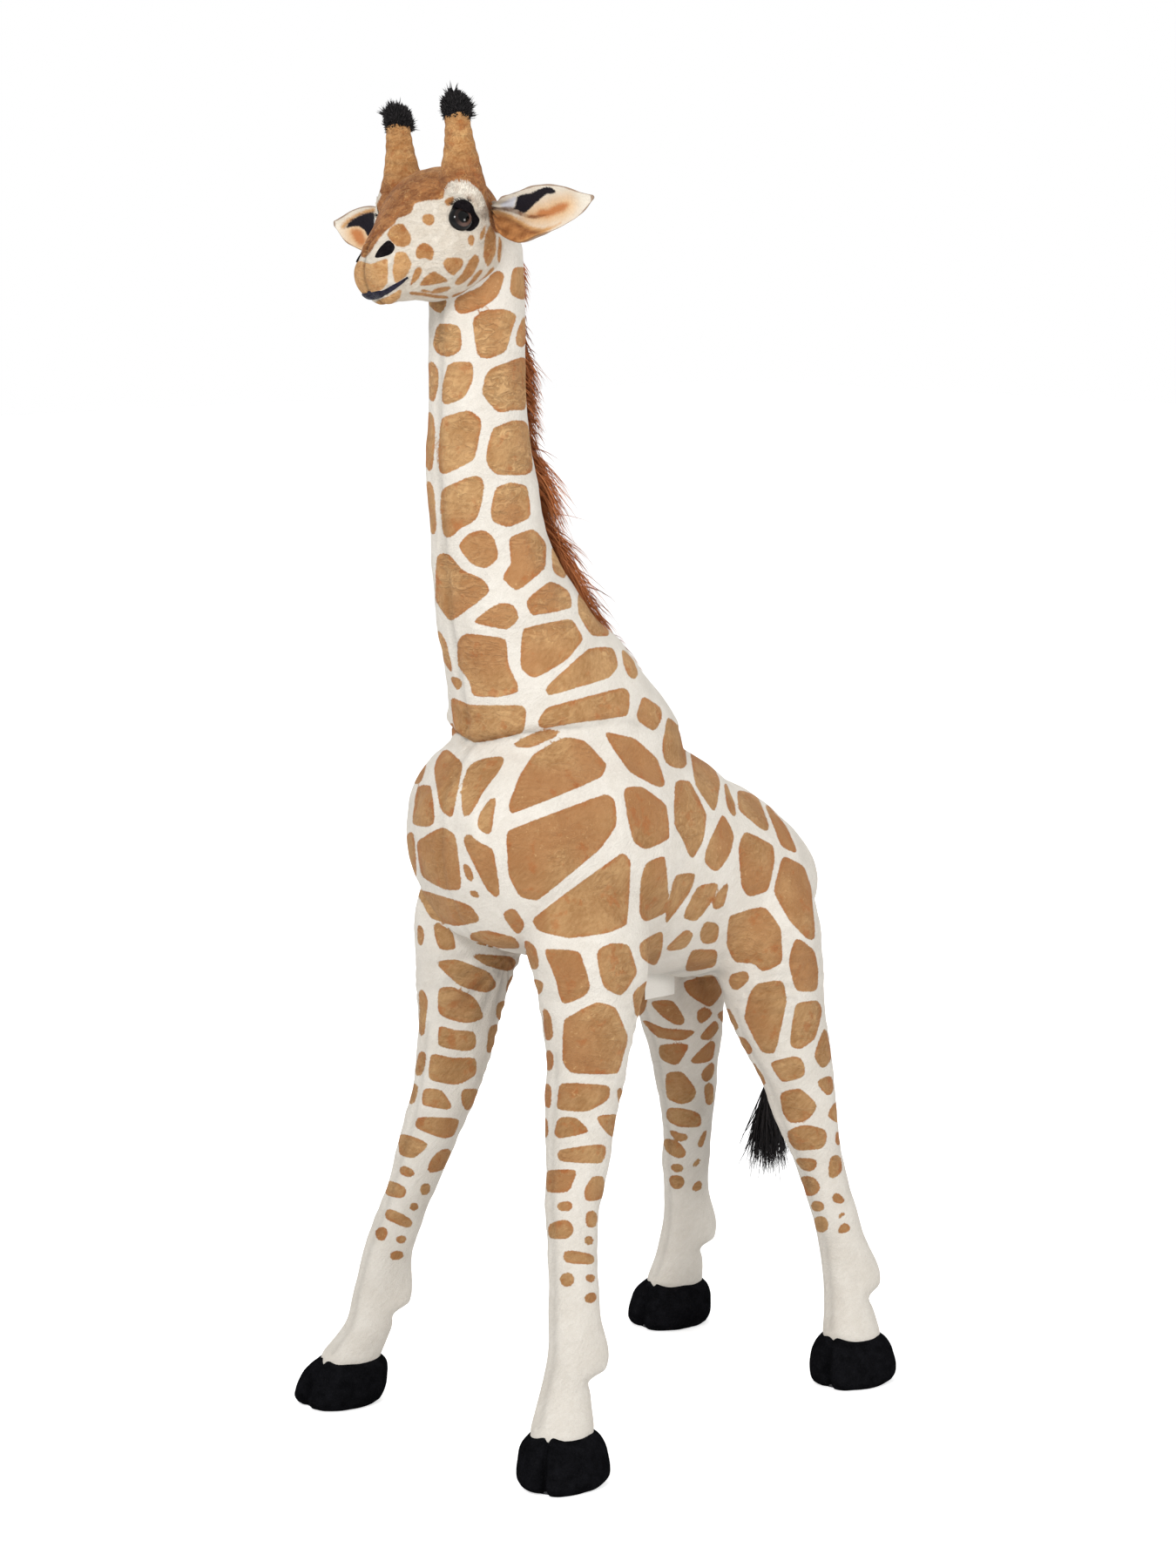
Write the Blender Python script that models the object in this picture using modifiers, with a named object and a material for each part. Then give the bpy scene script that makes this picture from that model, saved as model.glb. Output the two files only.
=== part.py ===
"""Standing plush giraffe: stuffed forms and their fittings on a bent wire frame.

It faces -Y, its left side is +X, and it stands on z = 0. All lengths are in metres.
Tables whose names end in shares give fractions of the named sizes beside them.
"""
import math
from collections import namedtuple

import bmesh
import bpy
from mathutils import Matrix, Vector

# Stance and clearances
STAND_SHIFT_Y = 0.0160
SEAM_GAP = 0.0004
FIT_GAP = 0.0003
CUT_OVERRUN = 0.010
WELD_DISTANCE = 0.00001
SHARP_ANGLE = 40.0

# Torso
TORSO_LENGTH = 0.482
TORSO_WIDTH = 0.268
TORSO_DEPTH = 0.315
BELLY_HEIGHT = 0.450
CHEST_Y = -0.224
TORSO_SIDES = 12
# along from chest to rump, top and bottom above the belly, half width
TORSO_SHARES = (
    (0.000, 0.800, 0.440, 0.400),
    (0.050, 0.905, 0.305, 0.710),
    (0.154, 0.970, 0.222, 0.900),
    (0.320, 1.000, 0.159, 1.000),
    (0.486, 0.975, 0.089, 0.910),
    (0.631, 0.855, 0.032, 0.845),
    (0.776, 0.711, 0.006, 0.870),
    (0.890, 0.619, 0.048, 0.776),
    (0.963, 0.514, 0.143, 0.582),
    (1.000, 0.413, 0.254, 0.300),
)

# Neck, from inside the shoulders to the centre of the nod
NECK_LENGTH = 0.538
NECK_LEAN = 0.128
NECK_BASE_WIDTH = 0.202
NECK_BASE_DEPTH = 0.262
NECK_DOME_RADIUS = 0.046
BALL_CAGE_SHARE = 1.026
NECK_SIDES = 10
NECK_BASE_UP_SHARE = 0.794
NECK_BASE_ALONG_SHARE = 0.344
# up, forward lean, half width, half depth
NECK_SHARES = (
    (0.000, -0.050, 1.000, 1.060),
    (0.084, 0.010, 0.965, 1.025),
    (0.167, 0.180, 0.880, 0.925),
    (0.242, 0.367, 0.797, 0.802),
    (0.316, 0.562, 0.728, 0.679),
    (0.390, 0.719, 0.649, 0.561),
    (0.483, 0.852, 0.574, 0.466),
    (0.613, 0.938, 0.525, 0.420),
    (0.743, 0.969, 0.490, 0.389),
    (0.874, 0.961, 0.475, 0.374),
    (0.967, 0.984, 0.457, 0.355),
)
NECK_DOME_TURNS = (0.0, 28.0, 55.0, 76.0)

# Head, measured from the centre of the nod
HEAD_LENGTH = 0.144
HEAD_WIDTH = 0.133
HEAD_HEIGHT = 0.130
HEAD_BACK = 0.018
HEAD_ROLL = 7.0
HEAD_YAW = 3.0
HEAD_SIDES = 12
SKIN_STEP_SHARE = 0.02
NOD_RELIEF_ANGLE = 10.0
NOD_RELIEF_DEPTH = 0.070
NOD_SEAT_STEPS = 20
# along from nape to nose, up, half width, half height
HEAD_SHARES = (
    (0.000, 0.185, 0.450, 0.460),
    (0.095, 0.190, 0.750, 0.770),
    (0.253, 0.210, 0.955, 0.965),
    (0.436, 0.205, 1.000, 1.030),
    (0.599, 0.185, 0.940, 0.955),
    (0.741, 0.110, 0.790, 0.820),
    (0.865, 0.015, 0.670, 0.665),
    (0.950, -0.045, 0.610, 0.575),
    (1.000, -0.065, 0.500, 0.460),
)

# Horns and their fur tufts, in the head's own frame
HORN_HALF_GAP = 0.0486
HORN_FORWARD = 0.045
HORN_ROOT_UP = 0.062
HORN_HEIGHT = 0.079
HORN_ROOT_RADIUS = 0.0245
HORN_SIDES = 8
HORN_SHARES = ((0.0, 1.0), (0.32, 0.82), (0.60, 0.64), (1.0, 0.50))
TUFT_HEIGHT = 0.031
TUFT_RADIUS = 0.0158
TUFT_GRIP_SHARE = 0.22
TUFT_SHARES = ((0.0, 0.75), (0.33, 1.0), (0.72, 0.90), (1.0, 0.40))

# Ears, outwards from the hinge in the root seam
EAR_LENGTH = 0.143
EAR_HEIGHT = 0.052
EAR_THICKNESS = 0.020
EAR_ROOT_RADIUS = 0.0105
EAR_BALL_CAGE_SHARE = 1.085
EAR_ROOT_OUT = 0.061
EAR_ROOT_FORWARD = 0.014
EAR_ROOT_UP = 0.0445
EAR_LIFT = 2.2
EAR_LIFT_UNEVEN = 4.2
EAR_SWEEP = 3.5
EAR_SIDES = 8
EAR_ROOT_TURNS = (-55.0, -20.0, 20.0)
# outwards, up, half height, half thickness
EAR_SHARES = (
    (0.14, -0.150, 0.70, 0.75),
    (0.30, -0.210, 0.97, 0.90),
    (0.52, -0.130, 0.95, 0.85),
    (0.74, -0.095, 0.73, 0.75),
    (0.89, -0.080, 0.42, 0.55),
    (1.00, 0.000, 0.13, 0.30),
)

# Eyes, each a dome and shank through a felt surround, held by a lock washer
EYE_ALONG_SHARE = 0.548
EYE_TURN = 9.5
EYE_RADIUS = 0.0125
EYE_DOME_HEIGHT = 0.0085
EYE_SHANK_RADIUS = 0.0032
EYE_SHANK_LENGTH = 0.017
EYE_SEAT_DEPTH = 0.0022
SURROUND_RADIUS = 0.0165
SURROUND_THICKNESS = 0.0016
WASHER_RADIUS = 0.0095
WASHER_THICKNESS = 0.0018
WASHER_DEPTH = 0.012
EYE_STEPS = 14
EYE_DOME_TURNS = (90.0, 65.0, 42.0, 20.0, 0.0)

# Nostril patches and the lip line on the muzzle
NOSTRIL_OUT = 0.0165
NOSTRIL_FORWARD = 0.1245
NOSTRIL_UP = 0.0105
NOSTRIL_FACING = Vector((0.30, -0.85, 0.42))
NOSTRIL_LENGTH = 0.022
NOSTRIL_WIDTH = 0.011
NOSTRIL_PROUD = 0.0022
NOSTRIL_SLANT = 35.0
NOSTRIL_STEPS = 12
LIP_RADIUS = 0.0028
LIP_SINK = 0.0012
LIP_SHARES = (0.975, 0.970, 0.965, 0.950, 0.930)
LIP_TURNS = (-90.0, -68.0, -48.0, -33.0, -20.0)

# Mane, a fin of hair behind the neck
MANE_THICKNESS = 0.018
MANE_REACH = 0.056
MANE_ROOT_DEPTH = 0.006
MANE_SIDES = 6
# up the neck, reach behind it
MANE_SHARES = (
    (0.170, 0.080),
    (0.225, 0.330),
    (0.300, 0.600),
    (0.370, 0.840),
    (0.450, 1.000),
    (0.540, 0.920),
    (0.660, 0.670),
    (0.800, 0.500),
    (0.930, 0.440),
    (0.975, 0.220),
)

# Legs: where they enter the torso, and how they swell and taper
LEG_ENTRY_UP_SHARE = 0.476
LEG_SIDES = 8
SHOULDER_ALONG_SHARE = 0.247
SHOULDER_HALF_GAP = 0.082
FRONT_FOOT_SPREAD = 0.364
FRONT_FOOT_REACH = -0.125
FRONT_LEG_WIDTH = 0.109
FRONT_LEG_DEPTH = 0.170
# down, outwards, reach, half width, half depth
FRONT_LEG_SHARES = (
    (0.000, 0.000, 0.000, 0.660, 0.850),
    (0.110, 0.090, 0.040, 0.980, 0.847),
    (0.220, 0.160, 0.084, 0.900, 0.676),
    (0.360, 0.215, 0.165, 0.725, 0.515),
    (0.500, 0.290, 0.310, 0.610, 0.425),
    (0.642, 0.450, 0.488, 0.477, 0.335),
    (0.790, 0.680, 0.645, 0.452, 0.330),
    (0.881, 0.770, 0.704, 0.450, 0.359),
    (0.936, 0.770, 0.800, 0.444, 0.329),
    (1.000, 0.890, 0.928, 0.550, 0.412),
)
HIP_ALONG_SHARE = 0.776
HIP_HALF_GAP = 0.062
REAR_FOOT_SPREAD = 0.296
REAR_FOOT_REACH = 0.086
REAR_LEG_WIDTH = 0.107
REAR_LEG_DEPTH = 0.137
REAR_LEG_SHARES = (
    (0.000, 0.000, 0.000, 0.740, 0.720),
    (0.110, 0.150, 0.151, 0.965, 0.910),
    (0.220, 0.175, 0.233, 0.990, 0.950),
    (0.360, 0.195, 0.400, 0.870, 0.810),
    (0.500, 0.335, 0.640, 0.685, 0.600),
    (0.642, 0.500, 0.826, 0.523, 0.445),
    (0.790, 0.700, 1.020, 0.455, 0.390),
    (0.881, 0.779, 1.116, 0.495, 0.438),
    (0.936, 0.837, 1.058, 0.486, 0.409),
    (1.000, 0.930, 1.030, 0.561, 0.496),
)

# Hooves and the stiff sole plates under them
HOOF_HEIGHT = 0.051
HOOF_WIDTH = 0.090
HOOF_LENGTH = 0.100
HOOF_SIDES = 8
# up, lean towards the ankle, half width, half length
HOOF_SHARES = (
    (0.00, 0.00, 0.80, 0.80),
    (0.16, 0.00, 0.96, 0.96),
    (0.48, 0.25, 1.00, 1.00),
    (0.80, 0.70, 0.92, 0.92),
    (1.00, 1.00, 0.72, 0.73),
)
SOLE_THICKNESS = 0.003
SOLE_SHARE = 0.78
SOLE_STEPS = 20

# Wire frame, its clamps and its end caps
WIRE_RADIUS = 0.0025
WIRE_RESOLUTION = 1
WIRE_BEND_SHARE = 0.35
FRONT_ARCH_UP_SHARE = 0.603
REAR_ARCH_UP_SHARE = 0.476
ARCH_HALF_FLAT = 0.030
ARCH_SPACING = 0.0085
CLAMP_WIDTH = 0.038
CLAMP_LENGTH = 0.030
CLAMP_WALL = 0.005
CLAMP_BEVEL = 0.002
SPINE_TAIL = 0.026
SPINE_BEND = 0.030
SPINE_BEND_TURNS = (22.5, 45.0, 67.5)
SPINE_TOP_GAP = 0.014
# up the neck, forward lean
SPINE_SHARES = (
    (0.040, 0.742),
    (0.150, 0.734),
    (0.260, 0.719),
    (0.372, 0.758),
    (0.483, 0.859),
    (0.613, 0.938),
    (0.743, 0.969),
    (0.874, 0.969),
)
CAP_RADIUS = 0.006
CAP_HEIGHT = 0.010
CAP_FLOOR = 0.003
CAP_STEPS = 12
ANKLE_STRAIGHT = 0.020

# Tail
TAIL_PIVOT_ALONG_SHARE = 0.946
TAIL_PIVOT_UP_SHARE = 0.559
TAIL_RADIUS = 0.007
TAIL_ROOT_RADIUS = 0.009
TAIL_LENGTH = 0.326
TAIL_SWING_OUT = 0.034
TAIL_SIDES = 8
# down, rearwards, radius
TAIL_SHARES = (
    (0.000, 0.000, 1.00),
    (0.035, 0.480, 1.00),
    (0.110, 0.830, 1.00),
    (0.240, 1.000, 1.00),
    (0.450, 0.960, 1.00),
    (0.720, 0.780, 0.95),
    (1.000, 0.520, 0.90),
)
TAIL_ROOT_TURNS = (-60.0, -25.0)
TAIL_TUFT_LENGTH = 0.105
TAIL_TUFT_RADIUS = 0.019
TAIL_TUFT_GRIP = 0.014
TAIL_TUFT_SHARES = ((0.0, 0.50), (0.2, 0.88), (0.5, 1.0), (0.8, 0.62), (1.0, 0.15))

# Blank sewn label under the belly
LABEL_WIDTH = 0.044
LABEL_DROP = 0.026
LABEL_THICKNESS = 0.0008
LABEL_ALONG_SHARE = 0.627
LABEL_TUCK = 0.008

# Places that follow from the sizes above
AXIS_X = Vector((1, 0, 0))
AXIS_Y = Vector((0, 1, 0))
AXIS_Z = Vector((0, 0, 1))
SIDES = (("left", 1), ("right", -1))
SHOULDER_Y = CHEST_Y + SHOULDER_ALONG_SHARE * TORSO_LENGTH
HIP_Y = CHEST_Y + HIP_ALONG_SHARE * TORSO_LENGTH
LEG_ENTRY_Z = BELLY_HEIGHT + LEG_ENTRY_UP_SHARE * TORSO_DEPTH
HOOF_BASE_Z = SOLE_THICKNESS + FIT_GAP
ANKLE_Z = HOOF_BASE_Z + HOOF_HEIGHT
NECK_BASE_Y = CHEST_Y + NECK_BASE_ALONG_SHARE * TORSO_LENGTH
NECK_BASE_Z = BELLY_HEIGHT + NECK_BASE_UP_SHARE * TORSO_DEPTH
NOD_POINT = Vector((0, NECK_BASE_Y - NECK_LEAN, NECK_BASE_Z + NECK_LENGTH))

Station = namedtuple("Station", "centre half_first half_second")
Leg = namedtuple("Leg", "entry_x entry_y foot_x foot_y width depth shares")

FRONT_LEG = Leg(SHOULDER_HALF_GAP, SHOULDER_Y, FRONT_FOOT_SPREAD / 2, SHOULDER_Y + FRONT_FOOT_REACH,
                FRONT_LEG_WIDTH, FRONT_LEG_DEPTH, FRONT_LEG_SHARES)
REAR_LEG = Leg(HIP_HALF_GAP, HIP_Y, REAR_FOOT_SPREAD / 2, HIP_Y + REAR_FOOT_REACH,
               REAR_LEG_WIDTH, REAR_LEG_DEPTH, REAR_LEG_SHARES)

# Colour, roughness and metallic value of each finish
FINISHES = {
    "plush": ((0.800, 0.680, 0.540), 0.95, 0.0),
    "crown_plush": ((0.480, 0.270, 0.140), 0.95, 0.0),
    "black_velvet": ((0.016, 0.016, 0.022), 0.90, 0.0),
    "black_fur": ((0.012, 0.011, 0.012), 0.85, 0.0),
    "mane_hair": ((0.300, 0.140, 0.070), 0.90, 0.0),
    "black_felt": ((0.010, 0.010, 0.012), 0.95, 0.0),
    "eye_plastic": ((0.035, 0.018, 0.012), 0.08, 0.0),
    "white_plastic": ((0.800, 0.800, 0.780), 0.45, 0.0),
    "grey_board": ((0.300, 0.300, 0.300), 0.85, 0.0),
    "steel": ((0.560, 0.570, 0.580), 0.35, 1.0),
    "label_tape": ((0.900, 0.900, 0.890), 0.80, 0.0),
}


def clear_scene():
    """Remove every object of the open file."""
    for old in list(bpy.data.objects):
        bpy.data.objects.remove(old, do_unlink=True)


def new_collection(name):
    """A collection linked under the scene."""
    collection = bpy.data.collections.new(name)
    bpy.context.scene.collection.children.link(collection)
    return collection


def dress(obj, finish):
    """Give an object its own Principled material."""
    colour, roughness, metallic = FINISHES[finish]
    material = bpy.data.materials.new(obj.name + "_" + finish)
    material.use_nodes = True
    shader = material.node_tree.nodes["Principled BSDF"]
    shader.inputs["Base Color"].default_value = (*colour, 1)
    shader.inputs["Roughness"].default_value = roughness
    shader.inputs["Metallic"].default_value = metallic
    obj.data.materials.clear()
    obj.data.materials.append(material)


class Workshop:
    """Adds pieces and cutters to their collections, under the stand or a pivot."""

    def __init__(self):
        self.pieces = new_collection("plush_giraffe")
        self.cutters = new_collection("cutters")
        self.stand = self.pivot("stand", None, Matrix.Translation((0, STAND_SHIFT_Y, 0)))

    def pivot(self, name, parent, placing):
        """An empty at a joint or a seat, placed in its parent's frame."""
        empty = bpy.data.objects.new(name, None)
        self.pieces.objects.link(empty)
        empty.parent = parent
        empty.matrix_local = placing
        return empty

    def piece(self, name, data, finish, parent=None, placing=None):
        """One sub-part of the toy."""
        obj = bpy.data.objects.new(name, data)
        self.pieces.objects.link(obj)
        obj.parent = parent or self.stand
        obj.matrix_local = placing or Matrix()
        dress(obj, finish)
        return obj

    def cutter(self, name, data, parent=None, placing=None):
        """A shape that is only taken away from others."""
        obj = bpy.data.objects.new(name, data)
        self.cutters.objects.link(obj)
        obj.parent = parent or self.stand
        obj.matrix_local = placing or Matrix()
        obj.hide_render = True
        obj.display_type = "WIRE"
        return obj


def cut(obj, *cutters):
    """Take each cutter away from an object."""
    for cutter in cutters:
        boolean = obj.modifiers.new("cut_" + cutter.name, "BOOLEAN")
        boolean.operation = "DIFFERENCE"
        boolean.solver = "EXACT"
        boolean.object = cutter


def smooth(obj):
    """Round a cage into its stuffed form."""
    subsurf = obj.modifiers.new("stuffing", "SUBSURF")
    subsurf.levels = 1
    subsurf.render_levels = 1
    obj.modifiers.new("flat_faces", "TRIANGULATE")
    return obj


def ellipse(centre, first, second, half_first, half_second, sides):
    """Points of an ellipse round a centre, in the plane of two unit directions."""
    points = []
    for index in range(sides):
        turn = 2 * math.pi * index / sides
        points.append(centre + first * (half_first * math.cos(turn)) + second * (half_second * math.sin(turn)))
    return points


def cage_rings(stations, first, second, sides, grow=0.0):
    """Rings round the stations, widened so that the smoothed surface has the stations' sizes."""
    widen = 1 / math.cos(math.pi / sides)
    rings = []
    for index, station in enumerate(stations):
        centre = station.centre.copy()
        if index == 0:
            centre += (station.centre - stations[1].centre).normalized() * grow
        if index == len(stations) - 1:
            centre += (station.centre - stations[index - 1].centre).normalized() * grow
        rings.append(ellipse(centre, first, second, (station.half_first + grow) * widen,
                             (station.half_second + grow) * widen, sides))
    return rings


def loft(name, rings, flat_start=False):
    """A closed mesh through rings of equal counts, with its first end creased flat on request."""
    shape = bmesh.new()
    loops = [[shape.verts.new(point) for point in ring] for ring in rings]
    sides = len(rings[0])
    for lower, upper in zip(loops[:-1], loops[1:]):
        for index in range(sides):
            after = (index + 1) % sides
            shape.faces.new((lower[index], lower[after], upper[after], upper[index]))
    first_end = shape.faces.new(list(reversed(loops[0])))
    shape.faces.new(loops[-1])
    if flat_start:
        crease = shape.edges.layers.float.new("crease_edge")
        for edge in first_end.edges:
            edge[crease] = 1.0
    bmesh.ops.recalc_face_normals(shape, faces=shape.faces)
    mesh = bpy.data.meshes.new(name)
    shape.to_mesh(mesh)
    shape.free()
    mesh.shade_smooth()
    return mesh


def path_rings(points, radii, sides):
    """Round rings square to a path that lies in the plane x = 0."""
    rings = []
    for index, point in enumerate(points):
        before = points[max(index - 1, 0)]
        after = points[min(index + 1, len(points) - 1)]
        second = (after - before).normalized().cross(AXIS_X)
        rings.append(ellipse(point, AXIS_X, second, radii[index], radii[index], sides))
    return rings


def turned(name, profile, steps, ring=False):
    """A mesh turned about local Z from a profile of radius and height, run down its outer side."""
    mesh = bpy.data.meshes.new(name + "_profile")
    edges = [(index, index + 1) for index in range(len(profile) - 1)]
    if ring:
        edges.append((len(profile) - 1, 0))
    mesh.from_pydata([(radius, 0, height) for radius, height in profile], edges, [])
    blank = bpy.data.objects.new(name + "_blank", mesh)
    bpy.context.scene.collection.objects.link(blank)
    screw = blank.modifiers.new("turn", "SCREW")
    screw.steps = steps
    screw.render_steps = steps
    screw.use_merge_vertices = True
    screw.merge_threshold = WELD_DISTANCE
    return settled(blank, name)


def settled(blank, name):
    """The evaluated mesh of a helper object, welded, with the helper removed."""
    bpy.context.view_layer.update()
    depsgraph = bpy.context.evaluated_depsgraph_get()
    mesh = bpy.data.meshes.new_from_object(blank.evaluated_get(depsgraph))
    mesh.name = name
    mesh.transform(blank.matrix_world)
    shape = bmesh.new()
    shape.from_mesh(mesh)
    bmesh.ops.remove_doubles(shape, verts=shape.verts, dist=WELD_DISTANCE)
    bmesh.ops.recalc_face_normals(shape, faces=shape.faces)
    shape.to_mesh(mesh)
    shape.free()
    mesh.shade_smooth()
    mesh.set_sharp_from_angle(angle=math.radians(SHARP_ANGLE))
    bpy.data.objects.remove(blank, do_unlink=True)
    return mesh


def tube(name, points, radius):
    """A rod along points, with closed ends."""
    curve = bpy.data.curves.new(name + "_route", "CURVE")
    curve.dimensions = "3D"
    curve.bevel_depth = radius
    curve.bevel_resolution = WIRE_RESOLUTION
    curve.use_fill_caps = True
    spline = curve.splines.new("POLY")
    spline.points.add(len(points) - 1)
    for target, point in zip(spline.points, points):
        target.co = (*point, 1)
    blank = bpy.data.objects.new(name + "_blank", curve)
    bpy.context.scene.collection.objects.link(blank)
    return settled(blank, name)


def box(name, low, high):
    """A block between two corners."""
    shape = bmesh.new()
    bmesh.ops.create_cube(shape, size=1)
    middle = (Vector(low) + Vector(high)) / 2
    extent = Vector(high) - Vector(low)
    bmesh.ops.transform(shape, matrix=Matrix.Translation(middle) @ Matrix.Diagonal((*extent, 1)), verts=shape.verts)
    mesh = bpy.data.meshes.new(name)
    shape.to_mesh(mesh)
    shape.free()
    return mesh


def ball(name, radius, steps):
    """A sphere round the origin."""
    shape = bmesh.new()
    bmesh.ops.create_uvsphere(shape, u_segments=steps, v_segments=steps // 2, radius=radius)
    mesh = bpy.data.meshes.new(name)
    shape.to_mesh(mesh)
    shape.free()
    return mesh


def seat_ball(name, radius, steps):
    """A faceted ball that clears a round root of the given radius even at its flats."""
    return ball(name, (radius + FIT_GAP) / math.cos(math.pi / steps) ** 2, steps)


def between(rows, share):
    """The row of a table at a share of its first column, by straight interpolation."""
    for lower, upper in zip(rows[:-1], rows[1:]):
        if share <= upper[0]:
            part = (share - lower[0]) / (upper[0] - lower[0])
            return [a + (b - a) * part for a, b in zip(lower, upper)]
    return list(rows[-1])


# Torso


def torso_stations():
    """Upright ellipses from the chest to the rump."""
    stations = []
    for along, top, bottom, wide in TORSO_SHARES:
        centre = Vector((0, CHEST_Y + along * TORSO_LENGTH, BELLY_HEIGHT + (top + bottom) / 2 * TORSO_DEPTH))
        stations.append(Station(centre, wide * TORSO_WIDTH / 2, (top - bottom) / 2 * TORSO_DEPTH))
    return stations


def torso_mesh(name, grow=0.0):
    """The torso's cage."""
    return loft(name, cage_rings(torso_stations(), AXIS_X, AXIS_Z, TORSO_SIDES, grow))


# Neck


def neck_place(up, lean):
    """A point on the neck's line from shares of its length and lean."""
    return Vector((0, NECK_BASE_Y - lean * NECK_LEAN, NECK_BASE_Z + up * NECK_LENGTH))


def neck_stations():
    """Level ellipses up the neck, then the dome that the head nods on."""
    stations = []
    for up, lean, wide, deep in NECK_SHARES:
        stations.append(Station(neck_place(up, lean), wide * NECK_BASE_WIDTH / 2, deep * NECK_BASE_DEPTH / 2))
    for turn in NECK_DOME_TURNS:
        radius = BALL_CAGE_SHARE * NECK_DOME_RADIUS * math.cos(math.radians(turn))
        height = BALL_CAGE_SHARE * NECK_DOME_RADIUS * math.sin(math.radians(turn))
        stations.append(Station(NOD_POINT + AXIS_Z * height, radius, radius))
    return stations


def neck_mesh(name, grow=0.0):
    """The neck's cage."""
    return loft(name, cage_rings(neck_stations(), AXIS_X, AXIS_Y, NECK_SIDES, grow))


def nod_relief_mesh():
    """The room below the nod's centre that the neck needs when the head tips."""
    widening = math.tan(math.radians(NOD_RELIEF_ANGLE)) * NOD_RELIEF_DEPTH
    radius = NECK_DOME_RADIUS + FIT_GAP
    rings = [
        ellipse(NOD_POINT, AXIS_X, AXIS_Y, radius, radius, NOD_SEAT_STEPS),
        ellipse(NOD_POINT - AXIS_Z * NOD_RELIEF_DEPTH, AXIS_X, AXIS_Y, radius + widening, radius + widening,
                NOD_SEAT_STEPS),
    ]
    return loft("nod_relief", rings)


def mane_mesh():
    """A thin fin whose inner edge is tucked into the neck's back."""
    stations = []
    for up, reach in MANE_SHARES:
        _, lean, _, deep = between(NECK_SHARES, up)
        line = neck_place(up, lean)
        inner = line.y + deep * NECK_BASE_DEPTH / 2 - MANE_ROOT_DEPTH
        outer = line.y + deep * NECK_BASE_DEPTH / 2 + reach * MANE_REACH
        centre = Vector((0, (inner + outer) / 2, line.z))
        stations.append(Station(centre, MANE_THICKNESS / 2, (outer - inner) / 2))
    return loft("mane", cage_rings(stations, AXIS_X, AXIS_Y, MANE_SIDES))


# Head, in the frame of the nod pivot


def head_place(along, up):
    """A point on the head's line from nape to nose."""
    return Vector((0, HEAD_BACK - along * HEAD_LENGTH, up * HEAD_HEIGHT))


def head_mesh(name, grow=0.0):
    """The head's cage."""
    stations = [Station(head_place(along, up), wide * HEAD_WIDTH / 2, high * HEAD_HEIGHT / 2)
                for along, up, wide, high in HEAD_SHARES]
    return loft(name, cage_rings(stations, AXIS_X, AXIS_Z, HEAD_SIDES, grow))


def head_surface(along, turn):
    """A point on the head's skin, turn degrees up from its left side."""
    _, up, wide, high = between(HEAD_SHARES, along)
    angle = math.radians(turn)
    return head_place(along, up) + Vector((
        wide * HEAD_WIDTH / 2 * math.cos(angle), 0, high * HEAD_HEIGHT / 2 * math.sin(angle)))


def head_frame(along, turn, depth=0.0):
    """A frame on the head's skin, local Z outwards, sunk by depth."""
    point = head_surface(along, turn)
    forward = head_surface(along + SKIN_STEP_SHARE, turn) - head_surface(along - SKIN_STEP_SHARE, turn)
    around = head_surface(along, turn + 1) - head_surface(along, turn - 1)
    normal = around.cross(forward).normalized()
    if normal.dot(point - head_place(along, between(HEAD_SHARES, along)[1])) < 0:
        normal = -normal
    across = forward.normalized()
    third = normal.cross(across)
    turning = Matrix((across, third, normal)).transposed().to_4x4()
    return Matrix.Translation(point - normal * depth) @ turning


def side_turn(side, turn):
    """The same place on the left or the right of the head."""
    return turn if side > 0 else 180 - turn


def horn_stations(side):
    """Level circles up a horn."""
    root = Vector((side * HORN_HALF_GAP, -HORN_FORWARD, HORN_ROOT_UP))
    return [Station(root + AXIS_Z * (up * HORN_HEIGHT), radius * HORN_ROOT_RADIUS, radius * HORN_ROOT_RADIUS)
            for up, radius in HORN_SHARES]


def tuft_stations(side):
    """Level circles up the fur tuft that caps a horn."""
    root_up = HORN_ROOT_UP + HORN_HEIGHT - TUFT_GRIP_SHARE * TUFT_HEIGHT
    root = Vector((side * HORN_HALF_GAP, -HORN_FORWARD, root_up))
    return [Station(root + AXIS_Z * (up * TUFT_HEIGHT), radius * TUFT_RADIUS, radius * TUFT_RADIUS)
            for up, radius in TUFT_SHARES]


def ear_mesh(name, side):
    """A leaf outwards from a ball root at the origin."""
    stations = []
    for turn in EAR_ROOT_TURNS:
        out = EAR_BALL_CAGE_SHARE * EAR_ROOT_RADIUS * math.sin(math.radians(turn))
        radius = EAR_BALL_CAGE_SHARE * EAR_ROOT_RADIUS * math.cos(math.radians(turn))
        stations.append(Station(AXIS_X * (side * out), radius, radius))
    for out, up, high, thick in EAR_SHARES:
        centre = Vector((side * out * EAR_LENGTH, 0, up * EAR_HEIGHT))
        stations.append(Station(centre, thick * EAR_THICKNESS / 2, high * EAR_HEIGHT / 2))
    return loft(name, cage_rings(stations, AXIS_Y, AXIS_Z, EAR_SIDES))


def eye_mesh(name):
    """A glossy dome with its shank, its flat back on the surround."""
    back = SURROUND_THICKNESS + 2 * FIT_GAP
    profile = [(EYE_RADIUS * math.cos(math.radians(turn)), back + EYE_DOME_HEIGHT * math.sin(math.radians(turn)))
               for turn in EYE_DOME_TURNS]
    profile[0] = (0, profile[0][1])
    profile += [(EYE_SHANK_RADIUS, back), (EYE_SHANK_RADIUS, -EYE_SHANK_LENGTH), (0, -EYE_SHANK_LENGTH)]
    return turned(name, profile, EYE_STEPS)


def ring_mesh(name, outer, inner, top, bottom, steps):
    """A flat ring."""
    return turned(name, [(outer, top), (outer, bottom), (inner, bottom), (inner, top)], steps, ring=True)


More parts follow.
